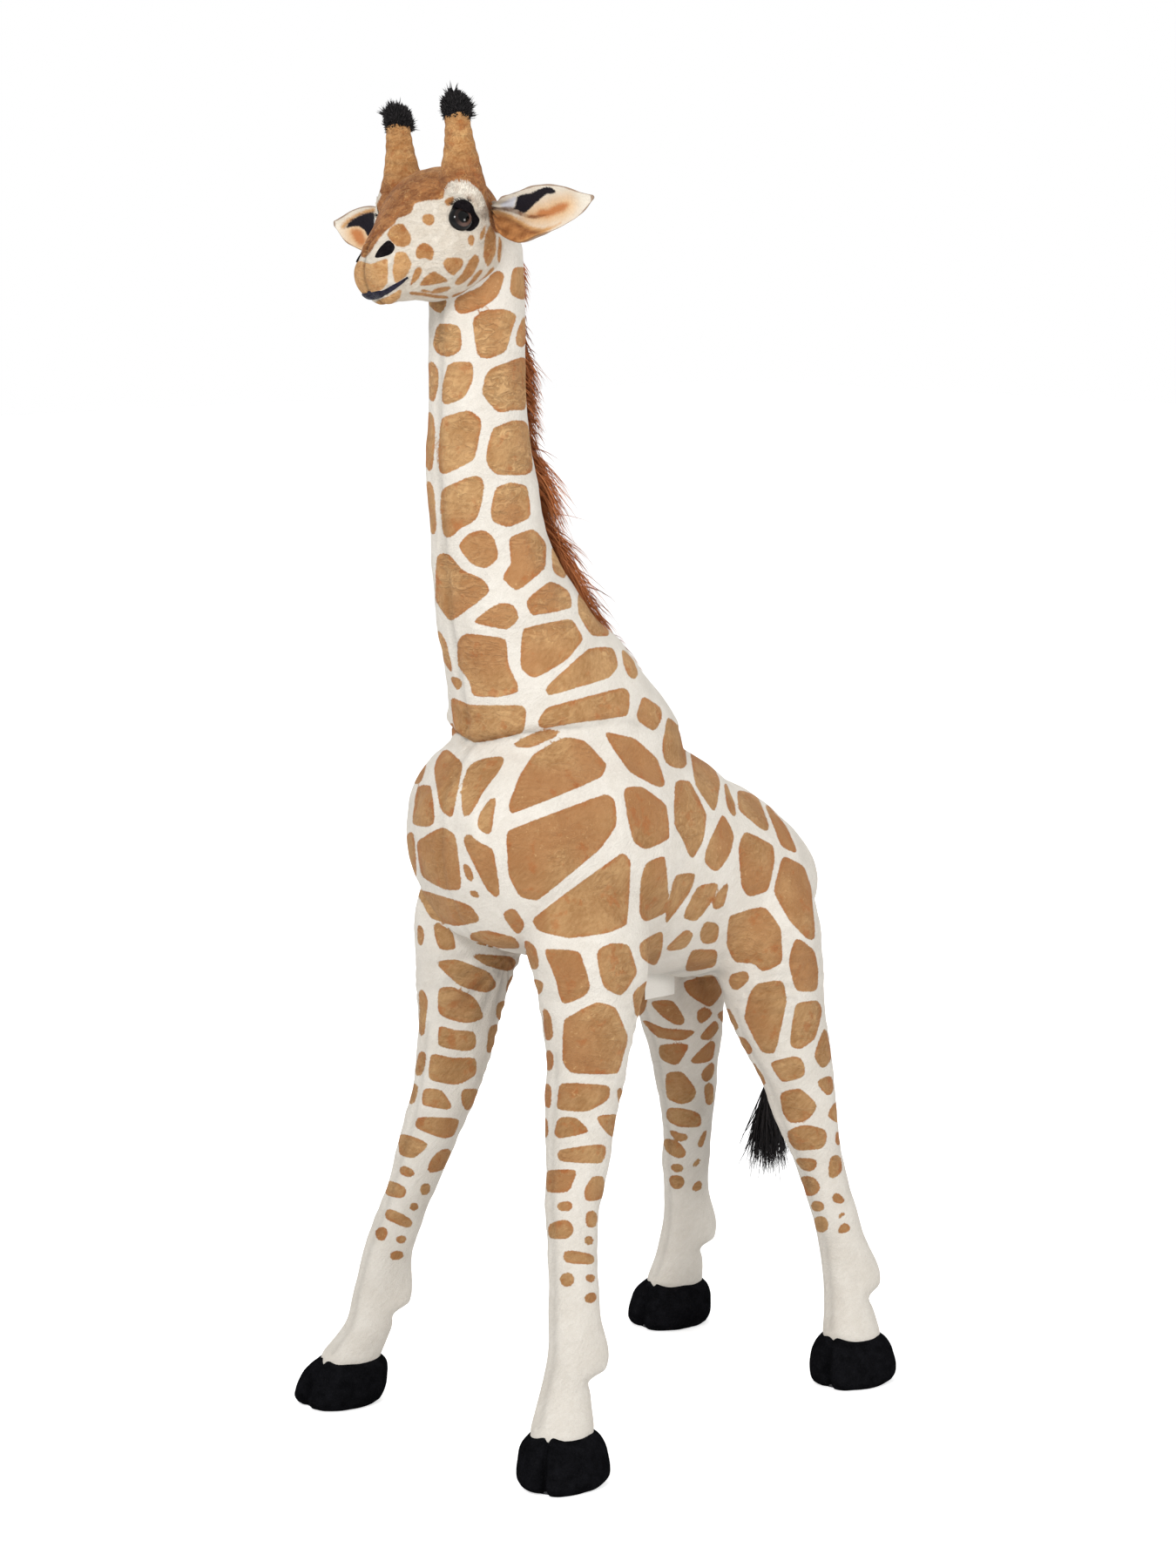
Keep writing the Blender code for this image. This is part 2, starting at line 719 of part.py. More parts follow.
def eye_pocket_mesh(name):
    """The seat for the surround, the shank's bore and the washer's pocket."""
    seat = SURROUND_RADIUS + FIT_GAP
    bore = EYE_SHANK_RADIUS + FIT_GAP
    pocket = WASHER_RADIUS + FIT_GAP
    pocket_top = -WASHER_DEPTH + WASHER_THICKNESS + FIT_GAP
    pocket_bottom = -WASHER_DEPTH - FIT_GAP
    profile = [
        (0, CUT_OVERRUN), (seat, CUT_OVERRUN), (seat, 0), (bore, 0), (bore, pocket_top),
        (pocket, pocket_top), (pocket, pocket_bottom), (bore, pocket_bottom),
        (bore, -EYE_SHANK_LENGTH - FIT_GAP), (0, -EYE_SHANK_LENGTH - FIT_GAP),
    ]
    return turned(name, profile, EYE_STEPS)


def nostril_frame(side):
    """A frame on the front of the muzzle, local X along the slanting nostril, local Z outwards."""
    outwards = Vector((side * NOSTRIL_FACING.x, NOSTRIL_FACING.y, NOSTRIL_FACING.z)).normalized()
    slant = math.radians(NOSTRIL_SLANT)
    across = outwards.cross(Vector((side * math.cos(slant), 0, math.sin(slant)))).normalized()
    turning = Matrix((across.cross(outwards), across, outwards)).transposed().to_4x4()
    return Matrix.Translation((side * NOSTRIL_OUT, -NOSTRIL_FORWARD, NOSTRIL_UP)) @ turning


def nostril_mesh(name):
    """A flat leaf, drawn as a squashed ball on the skin."""
    mesh = ball(name, 1, NOSTRIL_STEPS)
    mesh.transform(Matrix.Diagonal((NOSTRIL_LENGTH / 2, NOSTRIL_WIDTH / 2, NOSTRIL_PROUD, 1)))
    return mesh


def lip_mesh(name):
    """A cord sewn along the mouth from corner to corner."""
    left = [head_frame(along, turn, LIP_SINK).translation for along, turn in zip(LIP_SHARES, LIP_TURNS)]
    right = [Vector((-point.x, point.y, point.z)) for point in left[1:]]
    return tube(name, list(reversed(right)) + left, LIP_RADIUS)


# Legs and hooves


def leg_place(leg, side, down, out, reach):
    """A point on a leg's line from shares of its drop, spread and reach."""
    return Vector((
        side * (leg.entry_x + out * (leg.foot_x - leg.entry_x)),
        leg.entry_y + reach * (leg.foot_y - leg.entry_y),
        LEG_ENTRY_Z - down * (LEG_ENTRY_Z - ANKLE_Z)))


def leg_mesh(name, leg, side):
    """A leg's cage from the ankle up into the torso."""
    stations = [Station(leg_place(leg, side, down, out, reach), wide * leg.width / 2, deep * leg.depth / 2)
                for down, out, reach, wide, deep in reversed(leg.shares)]
    return loft(name, cage_rings(stations, AXIS_X, AXIS_Y, LEG_SIDES))


def foot_place(leg, side, height):
    """A point above the middle of a foot."""
    return Vector((side * leg.foot_x, leg.foot_y, height))


def hoof_mesh(name, leg, side, grow=0.0):
    """A hoof's cage from its flat base to the ankle."""
    _, out, reach, _, _ = leg.shares[-1]
    ankle = leg_place(leg, side, 1, out, reach)
    base = foot_place(leg, side, HOOF_BASE_Z)
    stations = []
    for up, lean, wide, long in HOOF_SHARES:
        centre = base.lerp(ankle, lean)
        centre.z = HOOF_BASE_Z + up * HOOF_HEIGHT
        stations.append(Station(centre, wide * HOOF_WIDTH / 2, long * HOOF_LENGTH / 2))
    return loft(name, cage_rings(stations, AXIS_X, AXIS_Y, HOOF_SIDES, grow), flat_start=True)


def sole_mesh(name, leg, side):
    """An oval plate on the floor."""
    wide = SOLE_SHARE * HOOF_WIDTH / 2
    long = SOLE_SHARE * HOOF_LENGTH / 2
    rings = [ellipse(foot_place(leg, side, height), AXIS_X, AXIS_Y, wide, long, SOLE_STEPS)
             for height in (0, SOLE_THICKNESS)]
    mesh = loft(name, rings)
    mesh.set_sharp_from_angle(angle=math.radians(SHARP_ANGLE))
    return mesh


def cap_mesh(name):
    """A cup that closes a wire's lower end, its floor on the sole plate."""
    bore = WIRE_RADIUS + FIT_GAP
    profile = [(0, CAP_FLOOR), (bore, CAP_FLOOR), (bore, CAP_HEIGHT), (CAP_RADIUS, CAP_HEIGHT),
               (CAP_RADIUS, 0), (0, 0)]
    return turned(name, profile, CAP_STEPS)


def cap_pocket_mesh(name):
    """The room for a cap in the hoof."""
    radius = CAP_RADIUS + FIT_GAP
    top = CAP_HEIGHT + FIT_GAP
    return turned(name, [(0, top), (radius, top), (radius, -CUT_OVERRUN), (0, -CUT_OVERRUN)], CAP_STEPS)


# Wire frame


def leg_wire_points(leg, arch_up_share):
    """The route of one bent rod down through both legs of a pair."""
    arch_z = BELLY_HEIGHT + arch_up_share * TORSO_DEPTH
    wire_end = HOOF_BASE_Z + CAP_FLOOR + FIT_GAP
    half = [foot_place(leg, 1, wire_end), foot_place(leg, 1, wire_end + ANKLE_STRAIGHT)]
    half += [leg_place(leg, 1, down, out, reach) for down, out, reach, _, _ in reversed(leg.shares[1:])]
    shoulder = half[-1]
    half.append(Vector((shoulder.x, leg.entry_y, shoulder.z + WIRE_BEND_SHARE * (arch_z - shoulder.z))))
    half.append(Vector((shoulder.x + (ARCH_HALF_FLAT - shoulder.x) * WIRE_BEND_SHARE, leg.entry_y,
                        arch_z - (arch_z - shoulder.z) * WIRE_BEND_SHARE / 2)))
    half.append(Vector((ARCH_HALF_FLAT, leg.entry_y, arch_z)))
    return half + [Vector((-point.x, point.y, point.z)) for point in reversed(half)]


def spine_points():
    """The route of the rod from the rump over both arches and up the neck."""
    rear_z = BELLY_HEIGHT + REAR_ARCH_UP_SHARE * TORSO_DEPTH + ARCH_SPACING
    front_z = BELLY_HEIGHT + FRONT_ARCH_UP_SHARE * TORSO_DEPTH + ARCH_SPACING
    half_clamp = CLAMP_LENGTH / 2
    points = [
        Vector((0, HIP_Y + SPINE_TAIL, rear_z)),
        Vector((0, HIP_Y - half_clamp, rear_z)),
        Vector((0, SHOULDER_Y + half_clamp, front_z)),
        Vector((0, SHOULDER_Y - half_clamp, front_z)),
    ]
    rise = neck_place(*SPINE_SHARES[0])
    corner = Vector((0, rise.y, front_z))
    for turn in SPINE_BEND_TURNS:
        angle = math.radians(turn)
        points.append(corner + Vector((0, SPINE_BEND * (1 - math.sin(angle)), SPINE_BEND * (1 - math.cos(angle)))))
    points += [neck_place(up, lean) for up, lean in SPINE_SHARES]
    points.append(NOD_POINT - AXIS_Z * SPINE_TOP_GAP)
    return points


def lengthened(points, extra):
    """The same route with both ends pushed outwards."""
    first = points[0] + (points[0] - points[1]).normalized() * extra
    last = points[-1] + (points[-1] - points[-2]).normalized() * extra
    return [first] + points[1:-1] + [last]


def clamp_block(name, y, arch_z, grow=0.0):
    """The block that holds the spine rod over an arch."""
    half = Vector((CLAMP_WIDTH / 2 + grow, CLAMP_LENGTH / 2 + grow, 0))
    low = Vector((0, y, arch_z - WIRE_RADIUS - CLAMP_WALL - grow)) - half
    high = Vector((0, y, arch_z + ARCH_SPACING + WIRE_RADIUS + CLAMP_WALL + grow)) + half
    return box(name, low, high)


# Tail and label


def tail_points():
    """The tail's line below its hinge, with the ball root ahead of it."""
    line = [Vector((0, out * TAIL_SWING_OUT, -down * TAIL_LENGTH)) for down, out, _ in TAIL_SHARES]
    ahead = (line[0] - line[1]).normalized()
    root = [ahead * (-TAIL_ROOT_RADIUS * math.sin(math.radians(turn))) for turn in TAIL_ROOT_TURNS]
    return root + line


def tail_mesh(name, grow=0.0):
    """The tail cord."""
    radii = [TAIL_ROOT_RADIUS * math.cos(math.radians(turn)) + grow for turn in TAIL_ROOT_TURNS]
    radii += [share * TAIL_RADIUS + grow for _, _, share in TAIL_SHARES]
    return loft(name, path_rings(lengthened(tail_points(), grow), radii, TAIL_SIDES))


def tail_tuft_mesh(name):
    """The drop of long hair at the tail's end."""
    end = tail_points()[-1] + AXIS_Z * TAIL_TUFT_GRIP
    stations = [Station(end - AXIS_Z * (down * TAIL_TUFT_LENGTH), radius * TAIL_TUFT_RADIUS, radius * TAIL_TUFT_RADIUS)
                for down, radius in TAIL_TUFT_SHARES]
    return loft(name, cage_rings(stations, AXIS_X, AXIS_Y, TAIL_SIDES))


def label_mesh(name):
    """A flat tag in the belly's middle seam."""
    y = CHEST_Y + LABEL_ALONG_SHARE * TORSO_LENGTH
    _, _, bottom, _ = between(TORSO_SHARES, LABEL_ALONG_SHARE)
    seam_z = BELLY_HEIGHT + bottom * TORSO_DEPTH
    low = (-LABEL_THICKNESS / 2, y - LABEL_WIDTH / 2, seam_z - LABEL_DROP)
    high = (LABEL_THICKNESS / 2, y + LABEL_WIDTH / 2, seam_z + LABEL_TUCK)
    return box(name, low, high)


# Assembly


def build_frame(shop):
    """The wire frame with its clamps, and the cutters that make room for it."""
    cutters = {}
    front_z = BELLY_HEIGHT + FRONT_ARCH_UP_SHARE * TORSO_DEPTH
    rear_z = BELLY_HEIGHT + REAR_ARCH_UP_SHARE * TORSO_DEPTH
    routes = {
        "front_leg_wire": leg_wire_points(FRONT_LEG, FRONT_ARCH_UP_SHARE),
        "rear_leg_wire": leg_wire_points(REAR_LEG, REAR_ARCH_UP_SHARE),
        "spine_wire": spine_points(),
    }
    for name, points in routes.items():
        shop.piece(name, tube(name, points, WIRE_RADIUS), "steel")
        bore = tube(name + "_bore", lengthened(points, FIT_GAP), WIRE_RADIUS + FIT_GAP)
        cutters[name] = shop.cutter(name + "_bore", bore)
    for name, wire, y, arch_z in (("shoulder_clamp", "front_leg_wire", SHOULDER_Y, front_z),
                                  ("hip_clamp", "rear_leg_wire", HIP_Y, rear_z)):
        clamp = shop.piece(name, clamp_block(name, y, arch_z), "white_plastic")
        bevel = clamp.modifiers.new("edges", "BEVEL")
        bevel.width = CLAMP_BEVEL
        bevel.segments = 1
        cut(clamp, cutters[wire], cutters["spine_wire"])
        cutters[name] = shop.cutter(name + "_pocket", clamp_block(name + "_pocket", y, arch_z, FIT_GAP))
    return cutters


def build_trunk(shop, bores):
    """Torso, neck and mane."""
    grown_torso = smooth(shop.cutter("torso_room", torso_mesh("torso_room", SEAM_GAP)))
    grown_neck = smooth(shop.cutter("neck_room", neck_mesh("neck_room", SEAM_GAP)))
    torso = smooth(shop.piece("torso", torso_mesh("torso"), "plush"))
    cut(torso, bores["shoulder_clamp"], bores["hip_clamp"], bores["front_leg_wire"], bores["rear_leg_wire"],
        bores["spine_wire"])
    neck = smooth(shop.piece("neck", neck_mesh("neck"), "plush"))
    cut(neck, grown_torso, bores["spine_wire"])
    mane = smooth(shop.piece("mane", mane_mesh(), "mane_hair"))
    cut(mane, grown_neck)
    return torso, grown_torso


def build_leg(shop, bores, grown_torso, pair, leg, label, side):
    """One leg with its hoof, sole plate and wire cap."""
    suffix = "_" + pair + "_" + label
    wire_bore = bores[pair + "_leg_wire"]
    grown_hoof = smooth(shop.cutter("hoof_room" + suffix, hoof_mesh("hoof_room" + suffix, leg, side, SEAM_GAP)))
    limb = smooth(shop.piece("leg" + suffix, leg_mesh("leg" + suffix, leg, side), "plush"))
    cut(limb, grown_torso, grown_hoof, wire_bore)
    cap_seat = Matrix.Translation(foot_place(leg, side, HOOF_BASE_Z))
    cap_room = shop.cutter("cap_room" + suffix, cap_pocket_mesh("cap_room" + suffix), placing=cap_seat)
    hoof = smooth(shop.piece("hoof" + suffix, hoof_mesh("hoof" + suffix, leg, side), "black_velvet"))
    cut(hoof, wire_bore, cap_room)
    shop.piece("wire_cap" + suffix, cap_mesh("wire_cap" + suffix), "white_plastic", placing=cap_seat)
    shop.piece("sole_plate" + suffix, sole_mesh("sole_plate" + suffix, leg, side), "grey_board")


def build_head(shop):
    """Head, horns, tufts, ears, eyes, nostrils and lip on the nod pivot."""
    yaw = Matrix.Rotation(math.radians(-HEAD_YAW), 4, "Z")
    placing = Matrix.Translation(NOD_POINT) @ yaw @ Matrix.Rotation(math.radians(-HEAD_ROLL), 4, "Y")
    nod = shop.pivot("head_pivot", shop.stand, placing)
    grown_head = smooth(shop.cutter("head_room", head_mesh("head_room", SEAM_GAP), nod))
    head = smooth(shop.piece("head", head_mesh("head"), "plush", nod))
    cut(head, shop.cutter("nod_seat", seat_ball("nod_seat", NECK_DOME_RADIUS, NOD_SEAT_STEPS), nod),
        shop.cutter("nod_relief", nod_relief_mesh()))
    for label, side in SIDES:
        build_eye(shop, nod, head, label, side)
        build_horn(shop, nod, grown_head, label, side)
        build_ear(shop, nod, head, label, side)
        name = "nostril_" + label
        cut(shop.piece(name, nostril_mesh(name), "black_felt", nod, nostril_frame(side)), grown_head)
    cut(shop.piece("lip_line", lip_mesh("lip_line"), "black_felt", nod), grown_head)


def build_eye(shop, nod, head, label, side):
    """An eye, its surround and its washer on one seat."""
    seat = head_frame(EYE_ALONG_SHARE, side_turn(side, EYE_TURN), EYE_SEAT_DEPTH)
    pocket = shop.cutter("eye_pocket_" + label, eye_pocket_mesh("eye_pocket_" + label), nod, seat)
    cut(head, pocket)
    shop.piece("eye_" + label, eye_mesh("eye_" + label), "eye_plastic", nod, seat)
    bore = EYE_SHANK_RADIUS + FIT_GAP
    name = "eye_surround_" + label
    surround = ring_mesh(name, SURROUND_RADIUS, bore, FIT_GAP + SURROUND_THICKNESS, FIT_GAP, EYE_STEPS)
    shop.piece(name, surround, "black_felt", nod, seat)
    name = "eye_washer_" + label
    washer = ring_mesh(name, WASHER_RADIUS, bore, WASHER_THICKNESS - WASHER_DEPTH, -WASHER_DEPTH, EYE_STEPS)
    shop.piece(name, washer, "white_plastic", nod, seat)


def build_horn(shop, nod, grown_head, label, side):
    """A horn and its tuft."""
    rings = cage_rings(horn_stations(side), AXIS_X, AXIS_Y, HORN_SIDES)
    grown_rings = cage_rings(horn_stations(side), AXIS_X, AXIS_Y, HORN_SIDES, SEAM_GAP)
    grown_horn = smooth(shop.cutter("horn_room_" + label, loft("horn_room_" + label, grown_rings), nod))
    horn = smooth(shop.piece("horn_" + label, loft("horn_" + label, rings), "crown_plush", nod))
    cut(horn, grown_head)
    tuft_rings = cage_rings(tuft_stations(side), AXIS_X, AXIS_Y, HORN_SIDES)
    tuft = smooth(shop.piece("horn_tuft_" + label, loft("horn_tuft_" + label, tuft_rings), "black_fur", nod))
    cut(tuft, grown_horn)


def build_ear(shop, nod, head, label, side):
    """An ear on its hinge, with the hollow that its root sits in."""
    place = Matrix.Translation((side * EAR_ROOT_OUT, -EAR_ROOT_FORWARD, EAR_ROOT_UP))
    lift = math.radians(EAR_LIFT - side * EAR_LIFT_UNEVEN)
    sweep = Matrix.Rotation(math.radians(EAR_SWEEP), 4, "Z")
    hinge = shop.pivot("ear_" + label + "_pivot", nod, place @ sweep @ Matrix.Rotation(-side * lift, 4, "Y"))
    seat = seat_ball("ear_seat_" + label, EAR_ROOT_RADIUS, EYE_STEPS)
    cut(head, shop.cutter("ear_seat_" + label, seat, nod, place))
    smooth(shop.piece("ear_" + label, ear_mesh("ear_" + label, side), "plush", hinge))


def build_tail(shop, torso, grown_torso):
    """Tail cord and tuft on the rump's hinge, and the blank label."""
    pivot_point = Vector((0, CHEST_Y + TAIL_PIVOT_ALONG_SHARE * TORSO_LENGTH,
                          BELLY_HEIGHT + TAIL_PIVOT_UP_SHARE * TORSO_DEPTH))
    hinge = shop.pivot("tail_pivot", shop.stand, Matrix.Translation(pivot_point))
    cut(torso, shop.cutter("tail_seat", seat_ball("tail_seat", TAIL_ROOT_RADIUS, EYE_STEPS), hinge))
    grown_cord = shop.cutter("tail_room", tail_mesh("tail_room", FIT_GAP), hinge)
    shop.piece("tail_cord", tail_mesh("tail_cord"), "plush", hinge)
    cut(smooth(shop.piece("tail_tuft", tail_tuft_mesh("tail_tuft"), "black_fur", hinge)), grown_cord)
    cut(shop.piece("label", label_mesh("label"), "label_tape"), grown_torso)


def main():
    """Build the giraffe from its frame outwards."""
    clear_scene()
    shop = Workshop()
    bores = build_frame(shop)
    torso, grown_torso = build_trunk(shop, bores)
    for pair, leg in (("front", FRONT_LEG), ("rear", REAR_LEG)):
        for label, side in SIDES:
            build_leg(shop, bores, grown_torso, pair, leg, label, side)
    build_head(shop)
    build_tail(shop, torso, grown_torso)


main()
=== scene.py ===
"""Standing plush giraffe: its sewn covers, fur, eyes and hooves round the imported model, on a pale studio floor."""

import logging
import math
from collections.abc import Callable
from dataclasses import dataclass, field
from enum import Enum

import bpy
import numpy as np
from mathutils import Matrix, Vector
from mathutils.bvhtree import BVHTree
from mathutils.kdtree import KDTree

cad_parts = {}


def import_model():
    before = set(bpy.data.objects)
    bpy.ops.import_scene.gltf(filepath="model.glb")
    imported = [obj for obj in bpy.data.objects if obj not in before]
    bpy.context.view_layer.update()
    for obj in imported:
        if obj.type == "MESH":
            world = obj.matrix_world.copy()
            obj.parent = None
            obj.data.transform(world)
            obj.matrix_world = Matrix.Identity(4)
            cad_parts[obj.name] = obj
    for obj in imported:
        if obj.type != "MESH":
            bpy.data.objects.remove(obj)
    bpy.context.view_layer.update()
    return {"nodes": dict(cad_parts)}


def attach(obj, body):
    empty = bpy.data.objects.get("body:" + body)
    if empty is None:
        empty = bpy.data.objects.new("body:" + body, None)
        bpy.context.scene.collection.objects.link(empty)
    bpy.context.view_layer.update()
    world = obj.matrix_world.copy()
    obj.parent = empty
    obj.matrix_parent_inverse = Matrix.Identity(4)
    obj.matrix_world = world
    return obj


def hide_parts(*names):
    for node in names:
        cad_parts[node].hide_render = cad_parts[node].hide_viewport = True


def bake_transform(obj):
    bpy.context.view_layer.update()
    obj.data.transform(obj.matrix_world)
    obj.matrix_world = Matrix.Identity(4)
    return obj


Array = np.ndarray
LOG = logging.getLogger("giraffe")
STAND_Y = 0.016
BELLY_Z = 0.450
CHEST_Y = -0.224 + STAND_Y
TORSO_LENGTH = 0.482
TORSO_DEPTH = 0.315
NOD_POINT = (0.0, -0.170192, 1.23811)
TAIL_HINGE = (0.0, 0.247972, 0.626085)
SIDES = (("left", 1.0), ("right", -1.0))
ACROSS, ALONG, UPWARDS = np.eye(3)
WAVE_SINES = 24
PATCH_ROUNDS = 3
FINE_RADIUS = 2.0


def linear(colour: tuple) -> tuple:
    """A screen colour of 0 to 255 as the linear and opaque colour that a shader takes."""
    share = np.array(colour) / 255
    return (*np.where(share <= 0.04045, share / 12.92, ((share + 0.055) / 1.055) ** 2.4).tolist(), 1.0)


def unit(vectors: Array) -> Array:
    """Vectors at length 1."""
    return vectors / np.linalg.norm(vectors, axis=-1, keepdims=True)


def through(points: Array, matrix: Array) -> Array:
    """Points moved by a 4 by 4 matrix."""
    return points @ matrix[:3, :3].T + matrix[:3, 3]


def smooth(share: Array) -> Array:
    """A smooth rise from 0 to 1 over a share: 3 t² − 2 t³."""
    return share * share * (3 - 2 * share)


# Surfaces on grids


@dataclass
class Shell:
    """A mesh in arrays: its points, its four-sided faces and its triangles."""

    points: Array
    quads: Array
    tris: Array = field(default_factory=lambda: np.zeros((0, 3), int))

    def triangles(self) -> Array:
        """Every face cut into triangles."""
        return np.vstack([self.quads[:, [0, 1, 2]], self.quads[:, [0, 2, 3]], self.tris]).astype(int)

    def outward(self) -> "Shell":
        """The same closed shell with its faces turned outwards.

        The volume is a sixth of the sum of a · (b × c) over the triangles, and it is below 0 when they face inwards.

        Returns:
            The shell.
        """
        corner = self.points[self.triangles()]
        if np.einsum("ij,ij->i", corner[:, 0], np.cross(corner[:, 1], corner[:, 2])).sum() < 0:
            return Shell(self.points, self.quads[:, ::-1], self.tris[:, ::-1])
        return self

    def normals(self) -> Array:
        """Unit normals at the points: the sum of the normals of the triangles round each.

        Returns:
            One normal for each point.
        """
        tri = self.triangles()
        corner = self.points[tri]
        face = np.cross(corner[:, 1] - corner[:, 0], corner[:, 2] - corner[:, 0])
        total = np.zeros_like(self.points)
        for column in tri.T:
            for axis in range(3):
                total[:, axis] += np.bincount(column, face[:, axis], len(self.points))
        return total / np.maximum(np.linalg.norm(total, axis=1, keepdims=True), 1e-12)

    def averager(self) -> Callable[[Array], Array]:
        """A function that gives the mean of each point's neighbours, for one number a point.

        Returns:
            The function.
        """
        sides = [faces[:, [corner, (corner + 1) % faces.shape[1]]]
                 for faces in (self.quads, self.tris) for corner in range(faces.shape[1])]
        pairs = np.unique(np.sort(np.vstack(sides), axis=1), axis=0)
        count = np.bincount(pairs.ravel(), minlength=len(self.points)).clip(1)

        def mean(values: Array) -> Array:
            """The mean of the neighbours' values."""
            total = np.bincount(pairs[:, 0], values[pairs[:, 1]], len(count))
            return (total + np.bincount(pairs[:, 1], values[pairs[:, 0]], len(count))) / count

        return mean

    def relaxed(self, rounds: int, share: Array | float = 0.5, keep: float = 1.04) -> "Shell":
        """The shell with its points drawn towards the mean of their neighbours and pushed back a little further.

        Each round adds share · (mean − point), and then takes keep · share · (mean − point) away again, so that
        bumps go and the volume stays.

        Args:
            rounds: how many times.
            share: how far each point goes, one number or one for each point.
            keep: how much of the step is taken back.

        Returns:
            The smoother shell.
        """
        mean, points = self.averager(), self.points.copy()
        step = np.broadcast_to(np.asarray(share, float), (len(points),))[:, None]
        for part in (1.0, -keep) * rounds:
            points += part * step * (np.stack([mean(column) for column in points.T], axis=-1) - points)
        return Shell(points, self.quads, self.tris)

    def moved(self, matrix: Array) -> "Shell":
        """The shell through a 4 by 4 matrix."""
        return Shell(through(self.points, matrix), self.quads, self.tris)

    def pushed(self, move: Array) -> "Shell":
        """The shell with each point moved outwards along its normal."""
        return Shell(self.points + self.normals() * move[:, None], self.quads, self.tris)

    def tree(self) -> BVHTree:
        """A tree that finds where lines meet the shell."""
        return BVHTree.FromPolygons(self.points.tolist(), self.quads.tolist() + self.tris.tolist())


def joined(shells: list[Shell]) -> Shell:
    """Several shells as one, side by side and not welded.

    Args:
        shells: the shells.

    Returns:
        One shell.
    """
    starts = np.cumsum([0] + [len(shell.points) for shell in shells[:-1]])
    return Shell(np.vstack([shell.points for shell in shells]),
                 np.vstack([shell.quads + start for shell, start in zip(shells, starts)]),
                 np.vstack([shell.tris + start for shell, start in zip(shells, starts)]))


def ring_faces(rings: int, turns: int) -> tuple[Array, Array]:
    """The faces of a tube of rings with a pole at each end, the poles numbered after the rings' points.

    Args:
        rings: how many rings.
        turns: points round a ring.

    Returns:
        The four-sided faces between rings, and the triangles to the poles.
    """
    index = np.arange(rings * turns).reshape(rings, turns)
    after = np.roll(index, -1, axis=1)
    quads = np.stack([index[:-1], after[:-1], after[1:], index[1:]], axis=-1).reshape(-1, 4)
    first = np.stack([np.full(turns, rings * turns), after[0], index[0]], axis=-1)
    last = np.stack([np.full(turns, rings * turns + 1), index[-1], after[-1]], axis=-1)
    return quads, np.vstack([first, last])


def closed_grid(grid: Array) -> Shell:
    """A grid of rings by turns by 3 as a closed tube, each end drawn to a point at the middle of its ring."""
    points = np.vstack([grid.reshape(-1, 3), grid[0].mean(0), grid[-1].mean(0)])
    return Shell(points, *ring_faces(*grid.shape[:2])).outward()


def hermite(rows: tuple | Array, at: Array) -> Array:
    """Smooth values between the rows of a table.

    Each span is a cubic in its own share t, (2t³ − 3t² + 1) a + (t³ − 2t² + t) h m + (3t² − 2t³) b + (t³ − t²) h n,
    where m and n are the slopes of parabolas through the neighbours.

    Args:
        rows: rows that start with the place along the piece.
        at: the places that are wanted.

    Returns:
        One row of values for each place.
    """
    table = np.asarray(rows, float)
    place, value = table[:, 0], table[:, 1:]
    span = np.diff(place)[:, None]
    rise = np.diff(value, axis=0) / span
    slope = np.empty_like(value)
    slope[0], slope[-1] = rise[0], rise[-1]
    slope[1:-1] = (span[1:] * rise[:-1] + span[:-1] * rise[1:]) / (span[1:] + span[:-1])
    low = np.clip(np.searchsorted(place, at, side="right") - 1, 0, len(place) - 2)
    wide = span[low]
    t = (np.clip(at, place[0], place[-1]) - place[low])[:, None] / wide
    return ((2 * t**3 - 3 * t**2 + 1) * value[low] + (t**3 - 2 * t**2 + t) * wide * slope[low]
            + (3 * t**2 - 2 * t**3) * value[low + 1] + (t**3 - t**2) * wide * slope[low + 1])


def ring_grid(centres: Array, first: Array, second: Array, turns: int, square: float = 1.0) -> Array:
    """Rings round centres: centre + first · c + second · s, where c and s are cos and sin of the turn.

    With square below 1, c becomes sign(c) · |c| to the power square, which fills the corners of the ring.

    Args:
        centres: one centre for each ring.
        first: half the ring's first width, as a vector for each ring.
        second: half its second width, as a vector for each ring.
        turns: points round a ring.
        square: the power.

    Returns:
        Points of rings by turns by 3.
    """
    turn = np.linspace(0, 2 * np.pi, turns, endpoint=False)
    across, along = (np.sign(wave) * np.abs(wave) ** square for wave in (np.cos(turn), np.sin(turn)))
    return centres[:, None] + first[:, None] * across[None, :, None] + second[:, None] * along[None, :, None]


def domed(centres: Array, halves: Array, dome: tuple[float, float], steps: int = 6) -> tuple[Array, Array]:
    """Rings added at both ends of a tube so that it closes in a quarter of an ellipse.

    At a turn a from 0 to 80 degrees the ring is cos a as wide and sin a · dome further out.

    Args:
        centres: one centre for each ring.
        halves: half widths for each ring.
        dome: how far the first and the last end stand out.
        steps: rings in each dome.

    Returns:
        The longer centres and half widths.
    """
    turn = np.radians(np.linspace(0, 80, steps + 1)[1:])[:, None]
    ahead = (centres[0] - centres[1]) / np.linalg.norm(centres[0] - centres[1])
    behind = (centres[-1] - centres[-2]) / np.linalg.norm(centres[-1] - centres[-2])
    start = (centres[0] + ahead * dome[0] * np.sin(turn))[::-1]
    end = centres[-1] + behind * dome[1] * np.sin(turn)
    return (np.vstack([start, centres, end]),
            np.vstack([(halves[0] * np.cos(turn))[::-1], halves, halves[-1] * np.cos(turn)]))


